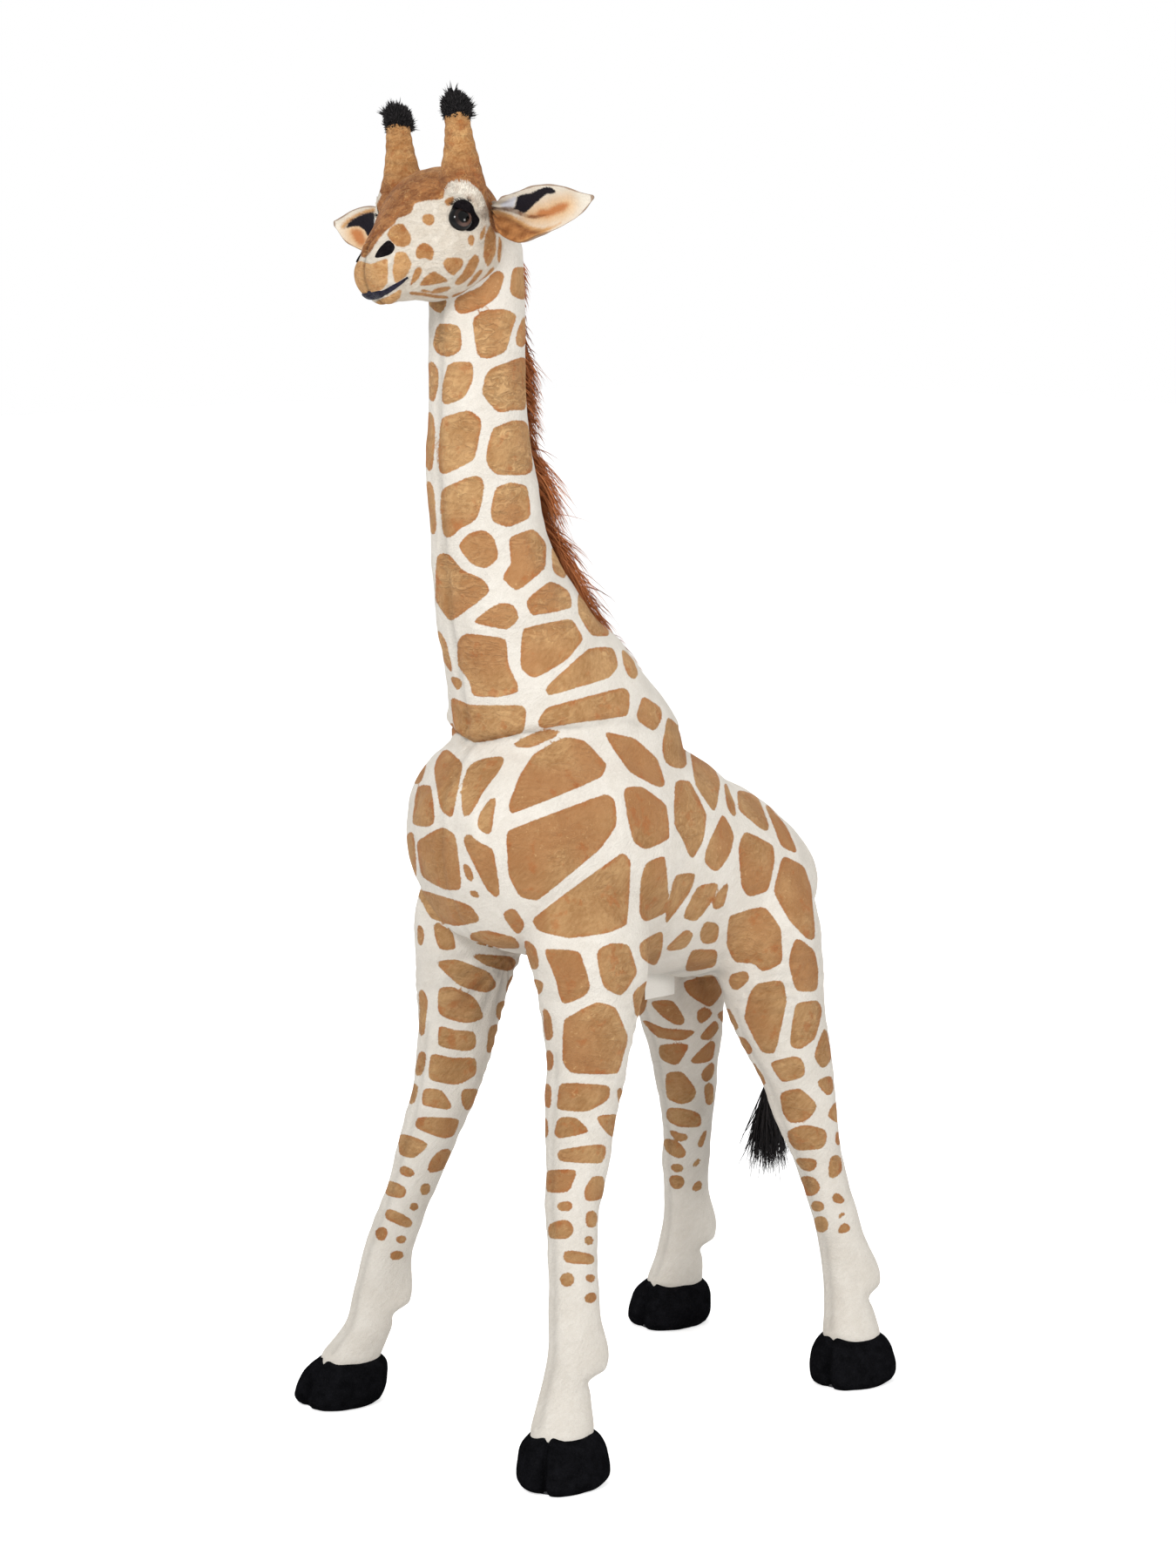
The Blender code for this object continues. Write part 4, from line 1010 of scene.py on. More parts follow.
@dataclass(frozen=True)
class EarPlush:
    """The ears' short fur: pale with a black streak, an orange glow, a thin brown rim and a painted shadow along the
    fold of the lobe.
    """

    name: str = "ear_plush"
    pale: tuple = (238, 229, 213)
    sand: tuple = (226, 188, 144)
    glow: tuple = (192, 118, 66)
    brown: tuple = (190, 130, 78)
    brown_low: tuple = (136, 82, 42)
    gold: tuple = (226, 176, 116)
    # The colour of the painted shadow along the lobe's fold.
    fold: tuple = (108, 62, 36)
    sheen: tuple = (222, 224, 232)
    rim: tuple = (132, 92, 62)
    black: tuple = (26, 22, 30)

    def make(self, bench: Bench) -> None:
        """The material. The mesh carries streak, glow, lobe, fold, sheen, rim and shade for each kind of area; the fold
        is a painted shadow.

        Args:
            bench: the material's node tree.
        """
        fray = (bench.noise(420, 3) - 0.5) * 0.0030
        drift = (bench.noise(70, 3) - 0.5) * 0.0050
        fine = bench.noise(520, 3, 0.6)
        soft = bench.noise(90, 3).step(0.35, 0.65)
        glow = bench.number("glow") + fray + drift
        colour = bench.mix(glow.step(-0.018, 0.002), self.pale, self.sand)
        colour = bench.mix(glow.edge(0.0030) * 0.9, colour, self.glow)
        colour = bench.mix((bench.number("sheen") + fray).edge(0.0020), colour, self.sheen)
        brown = bench.mix(soft * 0.7 + fine * 0.3, self.brown_low, self.brown)
        lobe = bench.number("lobe") + fray + drift * 0.5
        brown = bench.mix((1 - lobe.step(0.0010, 0.0055)) * 0.75, brown, self.gold)
        colour = bench.mix(lobe.edge(0.0022), colour, brown)
        # Painted shadow along the fold of the lobe.
        fold = (bench.number("fold") + fray * 0.5).step(-0.0014, 0.0008)
        colour = bench.mix(fold * (0.35 + soft * 0.45), colour, self.fold)
        colour = bench.mix((bench.number("streak") + fray * 0.9).edge(0.0010), colour, self.black)
        colour = bench.mix((bench.number("rim") + fray * 0.2).edge(0.0006) * 0.75, colour, self.rim)
        colour = bench.shade(colour, 0.82 + fine * 0.32)
        colour = bench.shade(colour, 1.0 - bench.number("shade") * 0.42)
        bench.bump(bench.noise(1300, 2) * 0.6 + fine, 0.0010)
        bench.finish(colour, 0.93, **PILE)


@dataclass(frozen=True)
class EyeGloss:
    """A glossy dark dome with a brown iris.

    The mesh carries rim, from 0 at the middle to 1 at the edge, and low, which is 1 down and behind.
    """

    name: str = "eye_gloss"
    iris: tuple = (91.1603, 69.2834, 61.8869)
    dark: tuple = (3.2946, 2.96514, 3.2946)

    def make(self, bench: Bench) -> None:
        """The material.

        Args:
            bench: the material's node tree.
        """
        rim = bench.number("rim")
        grain = (bench.noise(1400, 2) - 0.5) * 0.10
        iris = (rim + grain).step(0.44, 0.56) * (1 - (rim + grain).step(0.70, 0.80))
        iris = iris * (0.15 + bench.number("low") * 0.85)
        colour = bench.mix(iris, self.dark, self.iris)
        bench.finish(colour, 0.05 + rim * 0.03, Specular_IOR_Level=0.18)


@dataclass(frozen=True)
class PlainMaterial:
    """Metal, plastic, board and tape: one colour with a fine grain in its colour, roughness and relief."""

    name: str
    high: tuple
    low: tuple
    roughness: float
    metallic: float = 0.0
    grain: float = 900.0
    relief: float = 0.0001

    def make(self, bench: Bench) -> None:
        """The material.

        Args:
            bench: the material's node tree.
        """
        fine = bench.noise(self.grain, 3, 0.6)
        colour = bench.mix(fine.step(0.3, 0.7), self.low, self.high)
        bench.bump(fine, self.relief, 0.6)
        bench.finish(colour, self.roughness - 0.06 + fine * 0.12, Metallic=self.metallic)


class Finish(Enum):
    """Every finish of the toy."""

    COAT = CoatPlush()
    FACE = FacePlush()
    VELVET = PlainPlush("black_velvet", (25, 25, 28), (10, 10, 11))
    FELT = PlainPlush("black_felt", (36, 32, 34), (14, 12, 14), 200.0, 0.0004)
    LIP = PlainPlush("lip_velour", (50, 48, 70), (2, 2, 5), 330.0, 0.0016, 0.14, 0.42)
    BLACK_HAIR = HairFinish("black_fur", (56, 53, 54), (14, 13, 14))
    MANE_HAIR = HairFinish("mane_hair", (216, 140, 90), (126, 64, 32))
    BROW_HAIR = HairFinish("brow_fur", (246, 240, 228), (148, 108, 72))
    EAR = EarPlush()
    EYE = EyeGloss()
    PLASTIC = PlainMaterial("white_plastic", (232, 232, 228), (218, 218, 213), 0.45)
    BOARD = PlainMaterial("sole_board", (60, 60, 62), (42, 42, 44), 0.80, 0.0, 1500.0, 0.0003)
    STEEL = PlainMaterial("steel", (196, 198, 201), (170, 172, 176), 0.34, 1.0)
    TAPE = PlainMaterial("label_tape", (236, 234, 228), (220, 216, 208), 0.80, 0.0, 1900.0, 0.0002)

    def get(self) -> bpy.types.Material:
        """The material of this finish, made the first time that it is asked for.

        Returns:
            The material.
        """
        name = "toy_" + self.value.name
        if name not in bpy.data.materials:
            self.value.make(Bench(bpy.data.materials.new(name)))
        return bpy.data.materials[name]


# Patches in pixels of the photograph's 1350 by 1800 frame

NECK_PATCHES = """
491,343 513,344 509,354 505,359 495,352
523,343 553,330 570,311 579,315 570,340 553,352 531,360 523,356
590,308 603,308 603,344 589,339 586,332
544,366 557,357 579,356 593,362 587,375 580,403 560,411 549,408 546,386
503,373 515,373 527,375 529,395 527,403 513,409 502,404 498,395
602,362 603,396 595,398 593,388
493,414 502,423 502,444 497,462 492,453
515,419 527,416 542,417 541,438 531,457 509,464 509,444 514,425
564,424 603,410 603,470 590,469 572,473 554,451 559,431
491,472 497,479 498,505 495,541 489,535
508,480 539,472 552,483 548,505 544,527 509,544 505,540 505,505
567,492 592,483 605,486 611,538 605,544 570,544 559,531 561,512
491,551 497,562 500,609 496,614 492,590
508,562 546,546 555,553 552,575 546,596 528,605 516,617 510,614 507,583
570,560 587,555 605,559 608,594 583,604 568,599 564,590
538,614 555,609 566,618 572,640 557,652 541,646 527,627
585,618 612,608 626,624 625,652 593,678 577,663 589,647
634,627 651,648 648,664 636,656
502,638 514,636 530,656 554,666 562,679 517,713 501,689
605,689 632,668 652,678 656,697 610,706
544,714 573,693 589,695 595,710 582,722
664,681 677,689 700,729 680,729 665,705
534,728 580,734 582,764 596,793 573,799 543,798 541,782 527,764 526,737
601,722 656,711 669,734 648,758 613,778 598,766
677,745 703,744 709,764 699,777 629,798 627,790
714,745 726,758 732,774 726,780 719,769
502,723 511,737 519,772 507,753
517,777 531,782 526,793
518,801 539,811 600,811 603,817 600,841 546,852 523,839
629,813 715,790 722,796 720,821 656,829 622,836 618,828
738,800 758,813 759,824 751,839 731,825
"""
TRUNK_PATCHES = """
588,856 616,841 645,840 629,848 610,857
519,829 522,844 510,843
512,860 530,877 527,892 524,906 519,935 517,937 507,930 500,888 500,879 506,866
538,882 543,877 556,872 574,869 578,872 571,886 553,909 541,931 534,938 532,932 531,908 534,893
480,903 494,902 498,941 494,948 474,946
474,898 478,878 486,866 488,880 482,899
468,1012 468,958 474,956 477,1000 474,1018
566,916 568,920 566,929 563,954 561,957 552,952 549,947 551,938 556,927
614,866 649,847 670,851 696,878 689,892 587,934 585,924 598,890
582,955 696,912 705,919 707,946 689,973 617,1033 598,1029 585,1005
694,841 729,849 753,871 763,900 757,903 724,886 708,863
767,823 782,839 788,878 780,882 765,876 761,858
717,905 737,904 764,924 768,962 740,975 728,965 721,935
776,897 791,897 810,935 806,965 794,986 786,965 775,946
790,844 815,874 826,898 820,932 799,900 795,871
830,935 842,959 836,983 822,1001 809,989 814,970
479,967 508,950 522,959 529,1021 510,1020 485,1006
538,957 547,967 565,975 573,1026 569,1030 558,1018 532,965
532,991 540,998 543,1012 536,1008
539,1023 547,1024 550,1030 543,1029
478,1022 494,1026 539,1040 551,1057 523,1062 496,1054
611,1056 715,979 723,989 719,1061 697,1070 654,1076 619,1068
743,991 763,983 767,1045 740,1058 735,1048 737,1008
776,1005 798,1003 791,1024 764,1060 769,1034
802,1018 824,1014 818,1032 799,1057 784,1053
836,1013 830,1040 818,1044 822,1029
577,1049 590,1043 602,1062 594,1073
625,1090 665,1093 677,1133 670,1143 646,1152 638,1120
686,1091 703,1084 721,1085 731,1117 713,1143 694,1133 688,1109
735,1083 760,1069 759,1091 752,1109 737,1099
745,1125 740,1159 731,1168 727,1141
602,1079 614,1088 618,1111 609,1112
611,1124 624,1129 618,1143
498,1059 518,1069 523,1089 504,1089
539,1073 558,1069 590,1077 597,1088 566,1087 544,1081
541,1096 585,1099 593,1104 585,1115 558,1107
501,1105 523,1102 561,1117 570,1131 558,1139 528,1131
595,1117 585,1140 581,1136 586,1123
786,1068 796,1072 786,1088 764,1091
810,1058 825,1062 822,1081 807,1083 804,1072
794,1091 823,1091 820,1109 787,1115
784,1128 818,1119 829,1139 815,1156 791,1141
832,898 842,922 844,938 836,927
480,1061 486,1069 484,1085 481,1083
482,1135 488,1144 488,1160 482,1158
847,907 869,915 882,949 879,954 849,930
879,923 901,948 915,979 898,971 887,942
855,955 887,971 888,988 881,1022 859,1029 852,1016 849,973
899,983 922,995 930,1019 935,1077 928,1078 908,1057 889,1024
838,1052 877,1041 895,1065 897,1105 875,1115 866,1104 844,1104 835,1085
914,1077 934,1091 938,1114 937,1137 914,1137 906,1103
838,1120 856,1115 860,1123 846,1137 838,1131
869,1130 898,1126 902,1149 889,1209 875,1207 855,1169 861,1143
914,1153 938,1149 943,1160 935,1192 918,1204 907,1200
947,1180 954,1215 944,1227 935,1212
884,1220 915,1213 922,1220 923,1235 898,1242
938,1242 954,1235 956,1252 950,1258
896,1255 918,1250 938,1269 927,1285 907,1289 899,1275
960,1264 966,1281 963,1289 950,1281
823,1166 836,1157 848,1182 838,1180
842,1190 855,1192 864,1207 858,1210
747,1150 772,1149 787,1173 777,1177 757,1163
737,1171 763,1182 799,1184 783,1194 755,1190
800,1161 811,1157 818,1164 803,1176
803,1192 821,1171 825,1180 815,1193
757,1200 791,1199 777,1223 759,1216
792,1219 812,1199 820,1194 818,1215 806,1220
765,1232 783,1231 799,1252 795,1263 780,1267 766,1260
805,1232 819,1219 818,1235 809,1243
809,1246 818,1244 818,1266 811,1268
504,1135 520,1134 545,1146 555,1168 538,1174 516,1169 504,1163
572,1151 585,1150 579,1171 570,1168
504,1178 520,1184 545,1185 545,1203 534,1206 504,1200
563,1178 573,1177 566,1205 559,1209
495,1210 520,1216 546,1215 545,1234 524,1245 493,1239
482,1207 489,1210 484,1234 477,1234
484,1135 490,1148 486,1189 482,1187
472,1244 480,1247 475,1266 469,1266
487,1250 506,1252 518,1269 515,1273 485,1268
531,1251 549,1251 537,1276 531,1266
480,1283 527,1285 520,1304 509,1306 477,1294
459,1302 477,1307 492,1314 474,1329 459,1325
506,1321 518,1320 509,1342 491,1346 495,1332
461,1338 476,1345 472,1351 459,1347
445,1355 466,1364 463,1375 443,1371
486,1359 494,1360 490,1372 482,1369
471,1383 479,1382 479,1388 472,1389
445,1387 473,1401 470,1410 442,1398
434,1410 443,1410 444,1418 438,1425 431,1418
456,1420 465,1419 465,1426 456,1426
449,1438 462,1437 462,1444 449,1446
648,1171 686,1151 706,1157 720,1191 709,1232 656,1231 647,1219
624,1157 631,1166 634,1191 627,1195
628,1206 634,1209 634,1226 628,1229
643,1244 699,1247 698,1262 674,1275 640,1273
709,1250 714,1251 712,1269
641,1284 661,1284 676,1299 641,1306 637,1301
685,1282 710,1280 705,1307 690,1291
640,1321 693,1314 695,1323 690,1335 643,1332
628,1344 662,1344 652,1368 628,1368
681,1351 693,1351 691,1376 672,1378 672,1366
641,1381 656,1380 656,1389 641,1389
631,1405 652,1401 659,1412 652,1421 631,1421
674,1391 684,1391 684,1408 674,1408
672,1420 680,1420 680,1428 672,1428
648,1436 681,1441 681,1451 648,1448
645,1464 656,1461 659,1473 650,1477 644,1472
673,1464 682,1464 681,1471 674,1471
672,1489 679,1484 685,1487 681,1495 672,1494
626,1244 632,1248 631,1272 626,1269
625,1284 628,1287 628,1305 625,1303
766,1273 779,1273 800,1277 805,1285 803,1293 779,1293 766,1285
768,1297 779,1302 790,1303 788,1309 776,1308
763,1307 779,1312 788,1324 781,1330 769,1324 763,1316
811,1296 809,1304 805,1318 801,1314
772,1336 784,1338 782,1345 771,1343
803,1330 803,1333 798,1339 795,1338
769,1350 784,1351 785,1361 776,1365 770,1360
803,1355 806,1364 797,1367 795,1363
905,1298 924,1292 947,1297 948,1309 943,1318 915,1320 906,1309
961,1297 964,1314 960,1312
913,1330 938,1332 935,1343 922,1343
954,1328 964,1327 966,1345 955,1353 952,1348
919,1351 934,1352 942,1364 932,1373 923,1370
960,1369 970,1378 963,1382 955,1376
932,1380 942,1380 946,1386 941,1390 933,1389
970,1391 967,1396 961,1398
935,1398 947,1397 951,1409 943,1415 936,1410
970,1403 977,1412 963,1415 963,1412
864,1219 878,1241 877,1246 865,1228
"""
FACE_PATCHES = """
487,246 497,246 499,253 496,259 489,258 484,252
510,230 521,225 521,231 517,236 512,236
444,269 451,259 462,256 467,264 472,272 470,281 460,284 453,281 447,274
479,283 488,278 498,286 498,291 495,300 488,295 480,298 477,292
513,296 530,296 532,304 521,317 513,311 508,302
470,329 476,311 480,306 485,309 481,319
481,328 487,319 498,311 515,322 510,324 494,327
521,325 532,313 538,300 546,291 551,298 543,315 527,328
563,257 569,269 569,291 560,307 555,295 557,272
541,269 545,272 542,284 538,279 537,273
558,257 556,269 552,277 551,269
535,330 545,316 553,308 554,312 544,324
543,330 557,317 566,306 568,309 554,324
493,337 500,331 517,329 517,332 506,336
573,270 576,279 574,303 571,298
470,335 486,336 500,339 514,340 514,343 500,342 484,339 471,338
519,339 532,335 544,329 549,325 551,328 543,334 532,339 519,342
484,332 492,334 498,335 492,336 484,335
554,327 562,319 569,311 571,313 564,322 556,330
580,275 583,276 582,296 579,301
"""
MUZZLE_PATCHES = """
445,341 452,337 461,331 459,342 448,350 436,350 430,347
455,289 466,290 473,303 467,316 454,326 451,312 453,296
398,298 414,300 426,304 445,296 445,324 438,333 423,336 406,338 400,323
"""
CROWN_PATCH = ("425,248 445,213 473,182 507,178 545,170 568,190 582,218 584,250 578,266 569,268 563,258 561,241 "
               "554,222 543,211 528,208 517,209 510,219 509,228 489,230 475,233 473,243 464,248 456,250 453,257 "
               "443,264 434,275 420,296 413,294 420,272 428,253")
EYE_DARK = "522,232 528,229 537,230 543,236 545,244 551,252 548,260 540,266 528,262 517,257 518,251 518,241"
BROW_PATCH = ("510,221 514,212 528,207 542,212 552,223 557,238 557,252 554,255 551,250 545,239 536,230 528,224 "
              "520,222 513,225")
NOSTRIL = "429,296 435,285 441,279 446,275 450,278 454,283 452,288 449,292 443,294 436,296"
NECK_BASE = "546,851 574,846 602,841 645,835 682,830 720,826 759,838 787,834"
# In each ear, fold outlines the painted shadow along the lobe's fold.
EAR_AREAS = {
    "left": {
        "streak": "594,225 600,223 609,222 621,216 630,214 636,217 639,221 632,223 628,222 615,233 604,244 600,245 "
                  "594,241 588,240 592,237 592,232",
        "glow": "606,247 614,245 621,241 629,240 638,236 648,232 653,234 650,240 640,245 628,249 616,251 608,250",
        "lobe": "562,238 568,240 577,242 586,246 595,251 604,257 613,261 622,262 634,260 645,255 634,263 618,272 "
                "602,280 584,284 573,276 562,264 558,250",
        "fold": "562,238 572,238 584,238 594,241 603,246 612,248 622,247 632,246 622,249 612,251 602,249 592,245 "
                "583,242 572,241 562,241",
        "sheen": "572,236 580,231 588,227 594,225 591,232 590,239 580,239"},
    "right": {
        "streak": "396,262 401,255 408,250 417,246 430,243 430,270 422,273 419,264 410,259 402,261",
        "glow": "402,264 411,263 417,268 421,277 417,284 410,279 404,271",
        "lobe": "390,262 396,254 404,248 414,243 430,238 430,244 417,246 408,250 401,255 396,262",
        "fold": "394,262 400,254 408,249 417,245 430,242 430,244 418,247 409,251 402,256 396,263",
        "sheen": "424,250 430,247 430,262 425,262"}}


# Trunk


@dataclass
class Leg:
    """One pair of legs: where they leave the torso, where the feet stand, and their ellipses on the way down."""

    pair: str
    entry_x: float
    entry_y: float
    foot_x: float
    foot_y: float
    width: float
    depth: float
    rows: tuple
    entry_z: float = BELLY_Z + 0.476 * TORSO_DEPTH
    ankle_z: float = 0.0543

    def place(self, side: float, down: Array, out: Array, reach: Array) -> Array:
        """Points on the leg's line from shares of its drop, spread and reach.

        Args:
            side: 1 for the left, −1 for the right.
            down: shares of the drop from the torso.
            out: shares of the spread.
            reach: shares of the way forwards or back.

        Returns:
            The points.
        """
        return np.stack([side * (self.entry_x + out * (self.foot_x - self.entry_x)),
                         self.entry_y + reach * (self.foot_y - self.entry_y),
                         self.entry_z - down * (self.entry_z - self.ankle_z)], axis=-1)

    def shell(self, side: float) -> Shell:
        """The leg as level ellipses between its rows, with one more ring inside the hoof.

        Args:
            side: 1 for the left, −1 for the right.

        Returns:
            The closed shell.
        """
        down = np.linspace(0, 1, 90)
        out, reach, wide, deep = hermite(self.rows, down).T
        down, out, reach = (np.append(values, 1.031 * values[-1]) for values in (down, out, reach))
        wide, deep = (np.append(values, 0.96 * values[-1]) for values in (wide, deep))
        return closed_grid(ring_grid(self.place(side, down, out, reach), np.outer(wide * self.width / 2, ACROSS),
                                     np.outer(deep * self.depth / 2, ALONG), 64))


FRONT_LEG = Leg("front", 0.082, CHEST_Y + 0.247 * TORSO_LENGTH, 0.182, CHEST_Y + 0.247 * TORSO_LENGTH - 0.125,
                0.109, 0.170, (
                    (0, 0, 0, 0.660, 0.850), (0.110, 0.090, 0.040, 0.980, 0.847), (0.220, 0.160, 0.084, 0.900, 0.676),
                    (0.360, 0.215, 0.165, 0.725, 0.515), (0.500, 0.290, 0.310, 0.610, 0.425),
                    (0.642, 0.450, 0.488, 0.477, 0.335), (0.790, 0.680, 0.645, 0.452, 0.330),
                    (0.881, 0.770, 0.704, 0.450, 0.359), (0.936, 0.770, 0.800, 0.444, 0.329),
                    (1, 0.890, 0.928, 0.550, 0.412)))
REAR_LEG = Leg("rear", 0.062, CHEST_Y + 0.776 * TORSO_LENGTH, 0.148, CHEST_Y + 0.776 * TORSO_LENGTH + 0.086,
               0.107, 0.137, (
                   (0, 0, 0, 0.740, 0.720), (0.110, 0.150, 0.151, 0.965, 0.910), (0.220, 0.175, 0.233, 0.990, 0.950),
                   (0.360, 0.195, 0.400, 0.870, 0.810), (0.500, 0.335, 0.640, 0.685, 0.600),
                   (0.642, 0.500, 0.826, 0.523, 0.445), (0.790, 0.700, 1.020, 0.455, 0.390),
                   (0.881, 0.779, 1.116, 0.495, 0.438), (0.936, 0.837, 1.058, 0.486, 0.409),
                   (1, 0.930, 1.030, 0.561, 0.496)))
LEGS = tuple((leg, label, side) for leg in (FRONT_LEG, REAR_LEG) for label, side in SIDES)


@dataclass
class Neck:
    """The stuffed neck's form, sewn over the shoulders and into the head."""

    length: float = 0.538
    lean: float = 0.128
    base_width: float = 0.202
    base_depth: float = 0.262
    base_y: float = CHEST_Y + 0.344 * TORSO_LENGTH
    base_z: float = BELLY_Z + 0.794 * TORSO_DEPTH
    dome: float = 0.024
    rows: tuple = (
        (0, -0.050, 1.000, 1.060), (0.084, 0.010, 0.965, 1.025), (0.167, 0.180, 0.880, 0.925),
        (0.242, 0.367, 0.797, 0.802), (0.316, 0.562, 0.728, 0.679), (0.390, 0.719, 0.649, 0.561),
        (0.483, 0.852, 0.574, 0.466), (0.613, 0.938, 0.525, 0.420), (0.743, 0.969, 0.490, 0.389),
        (0.874, 0.961, 0.475, 0.374), (0.950, 0.962, 0.462, 0.375), (1.020, 0.962, 0.430, 0.372))

    def line(self, up: Array) -> tuple[Array, Array, Array]:
        """Points on the neck's line with the half width and half depth there.

        Args:
            up: shares of the neck's length.

        Returns:
            The points, the half widths and the half depths.
        """
        lean, wide, deep = hermite(self.rows, up).T
        centres = np.stack([0 * up, self.base_y - lean * self.lean, self.base_z + up * self.length], -1)
        return centres, wide * self.base_width / 2, deep * self.base_depth / 2

    def shell(self) -> Shell:
        """Level ellipses up the neck with a dome on top."""
        centres, wide, deep = self.line(np.linspace(0, self.rows[-1][0], 120))
        return stuffed(centres, np.stack([wide, deep], -1), ALONG, 96, (0.004, self.dome), 12)


@dataclass
class Trunk:
    """The torso, the neck and the four legs as one sewn and stuffed cover."""

    neck: Neck
    width: float = 0.268
    voxel: float = 0.0040
    low_edge: float = 0.175
    high_edge: float = 1.215
    tree: BVHTree = field(init=False)
    rows: tuple = (
        (0, 0.800, 0.440, 0.400), (0.050, 0.905, 0.305, 0.710), (0.154, 0.970, 0.222, 0.900),
        (0.320, 1.000, 0.159, 1.000), (0.486, 0.975, 0.089, 0.910), (0.631, 0.855, 0.032, 0.845),
        (0.776, 0.711, 0.006, 0.870), (0.890, 0.619, 0.048, 0.776), (0.963, 0.514, 0.143, 0.582),
        (1.000, 0.413, 0.254, 0.300))
    spacing: tuple = ((0.17, 0.028), (0.30, 0.040), (0.45, 0.058), (0.60, 0.085), (0.75, 0.080), (0.90, 0.062),
                      (1.2, 0.045))

    def torso_shell(self) -> Shell:
        """Upright ellipses from the chest to the rump, closed by a low dome at each end.

        Returns:
            The closed shell.
        """
        along = np.linspace(0, 1, 110)
        top, bottom, wide = hermite(self.rows, along).T
        centres = np.stack([0 * along, CHEST_Y + along * TORSO_LENGTH, BELLY_Z + (top + bottom) / 2 * TORSO_DEPTH], -1)
        halves = np.stack([wide * self.width / 2, (top - bottom) / 2 * TORSO_DEPTH], -1)
        return stuffed(centres, halves, UPWARDS, 96, (0.012, 0.010))

    def heels(self, points: Array, normals: Array) -> Array:
        """How far the cover moves outwards at the fetlocks: a swelling at the back that ends in a fold above the hoof.

        The swelling is exp(−((z − peak) / 0.030)²) above its peak and exp(−((z − peak) / 0.0085)²) below it.

        Args:
            points: the cover's points.
            normals: its normals.

        Returns:
            One distance for each point.
        """
        move = np.zeros(len(points))
        for leg, _, side in LEGS:
            place = np.array([0.895 if leg is FRONT_LEG else 0.905])
            out, reach, _, _ = hermite(leg.rows, place).T
            away = points - leg.place(side, place, out, reach)[0]
            near = bell(away[:, 0], 0, 0.045) * (np.abs(away[:, 1]) < 0.09)
            behind = np.clip(normals[:, 1] * 1.2 + 0.30, 0, 1) * near
            move += 0.0095 * bell(away[:, 2], 0, np.where(away[:, 2] > 0, 0.030, 0.0085)) * behind
            move -= 0.0045 * bell(away[:, 2], -0.017, 0.0075) * behind
        return move

    def shoulders(self, points: Array) -> tuple[Array, Array]:
        """The neck's overhang over the shoulders, along a line that is read off the photograph.

        Args:
            points: the cover's points.

        Returns:
            How deep in the fold each point is, from 0 to 1, and how far it moves outwards.
        """
        base, height = outline(NECK_BASE), points[:, 2]
        pixels, _ = VIEW.pixels(points * [0, 1, 1] + np.abs(points) * [1, 0, 0])
        below = pixels[:, 1] - np.interp(pixels[:, 0], *base.T)
        strong = np.interp(pixels[:, 0], [540, 560, 620, 700, 790, 830], [1, 1, 0.75, 0.35, 0.20, 0])
        strong *= (pixels[:, 0] > 500) & (height > 0.62) & (height < 0.80)
        overhang = bell(below, -9, 7) * 0.0042 - bell(below, 2, 3.5) * 0.0050
        return bell(below, 1, 2.2) * strong * 0.8, overhang * strong

    def folds(self, points: Array, normals: Array) -> tuple[Array, Array]:
        """The cover's seams and folds.

        Args:
            points: the cover's points.
            normals: its normals.

        Returns:
            How deep in a fold each point is, from 0 to 1, and how far it moves outwards.
        """
        x, y, z = points.T
        below, overhang = self.shoulders(points)
        front = normals[:, 1] < -0.2
        seam = bell(x, 0, 0.0040) * front * (z > 0.50) * (z < 1.20)
        lips = bell(np.abs(x), 0.0085, 0.005) * front * (z > 0.50) * (z < 1.20)
        # fold: how deep each point lies in a seam or fold, which the finish paints as shade.
        fold = np.maximum(seam * np.interp(z, [0.55, 0.70, 0.80], [0.15, 0.20, 0.45]), below)
        move = lips * 0.0006 - seam * 0.0020 + overhang
        for leg, _, side in LEGS:
            inner = (side * leg.entry_x * 0.50, leg.entry_y, BELLY_Z + 0.020)
            near = bump(points, inner, (0.030, 0.075, 0.035))
            angle = np.arctan2(z - BELLY_Z - 0.05, y - leg.entry_y)
            wrinkle = np.sin(angle * 15 + x * 60) * near
            fold = np.maximum(fold, near * 0.25 + np.clip(-wrinkle, 0, 1) * 0.5)
            move += wrinkle * 0.0016
            thigh = bell(z, 0.43, 0.075) * (x * side > 0) * np.clip(1 - np.abs(y - leg.entry_y) / 0.16, 0, 1)
            ripple = np.sin(z * 420 + np.sin(y * 60 + side) * 2.2 + x * 30) * (waves(points, 13, 0.05) > 0.1)
            move += thigh * ripple * 0.0007
            fold = np.maximum(fold, thigh * np.clip(-ripple - 0.3, 0, 1) * 0.35)
        down = (FRONT_LEG.entry_z - z) / (FRONT_LEG.entry_z - FRONT_LEG.ankle_z)
        for leg, _, side in LEGS:
            out, reach, _, _ = hermite(leg.rows, down.clip(0, 1)).T
            line = leg.place(side, down, out, reach)
            ahead = (y < line[:, 1]) * (np.abs(y - line[:, 1]) < 0.09) * (z < 0.43) * (z > 0.06)
            stitched = bell(np.abs(x - line[:, 0]), 0, 0.0038) * ahead
            fold = np.maximum(fold, stitched * 0.30)
            move -= stitched * 0.0012
        return fold, move

    def form(self) -> Shell:
        """The six forms as one skin, eased where the legs and the neck join the torso.

        Returns:
            The cover without its folds.
        """
        legs = [leg.shell(side) for leg, _, side in LEGS]
        shell = remeshed([self.torso_shell(), self.neck.shell(), *legs], self.voxel)
        points = shell.points
        near_join = np.zeros(len(points))
        for leg, _, side in LEGS:
            inner = (side * leg.entry_x, leg.entry_y + (0.01 if leg is FRONT_LEG else 0.02), BELLY_Z + 0.05)
            near_join = np.maximum(near_join, bump(points, inner, (0.075, 0.10, 0.055)))
        withers = bump(points, (0, -0.035, 0.762), (0.20, 0.085, 0.030)) * np.clip((points[:, 1] + 0.14) / 0.06, 0, 1)
        return shell.relaxed(24, 0.5 * np.maximum(near_join, withers), 0.88)

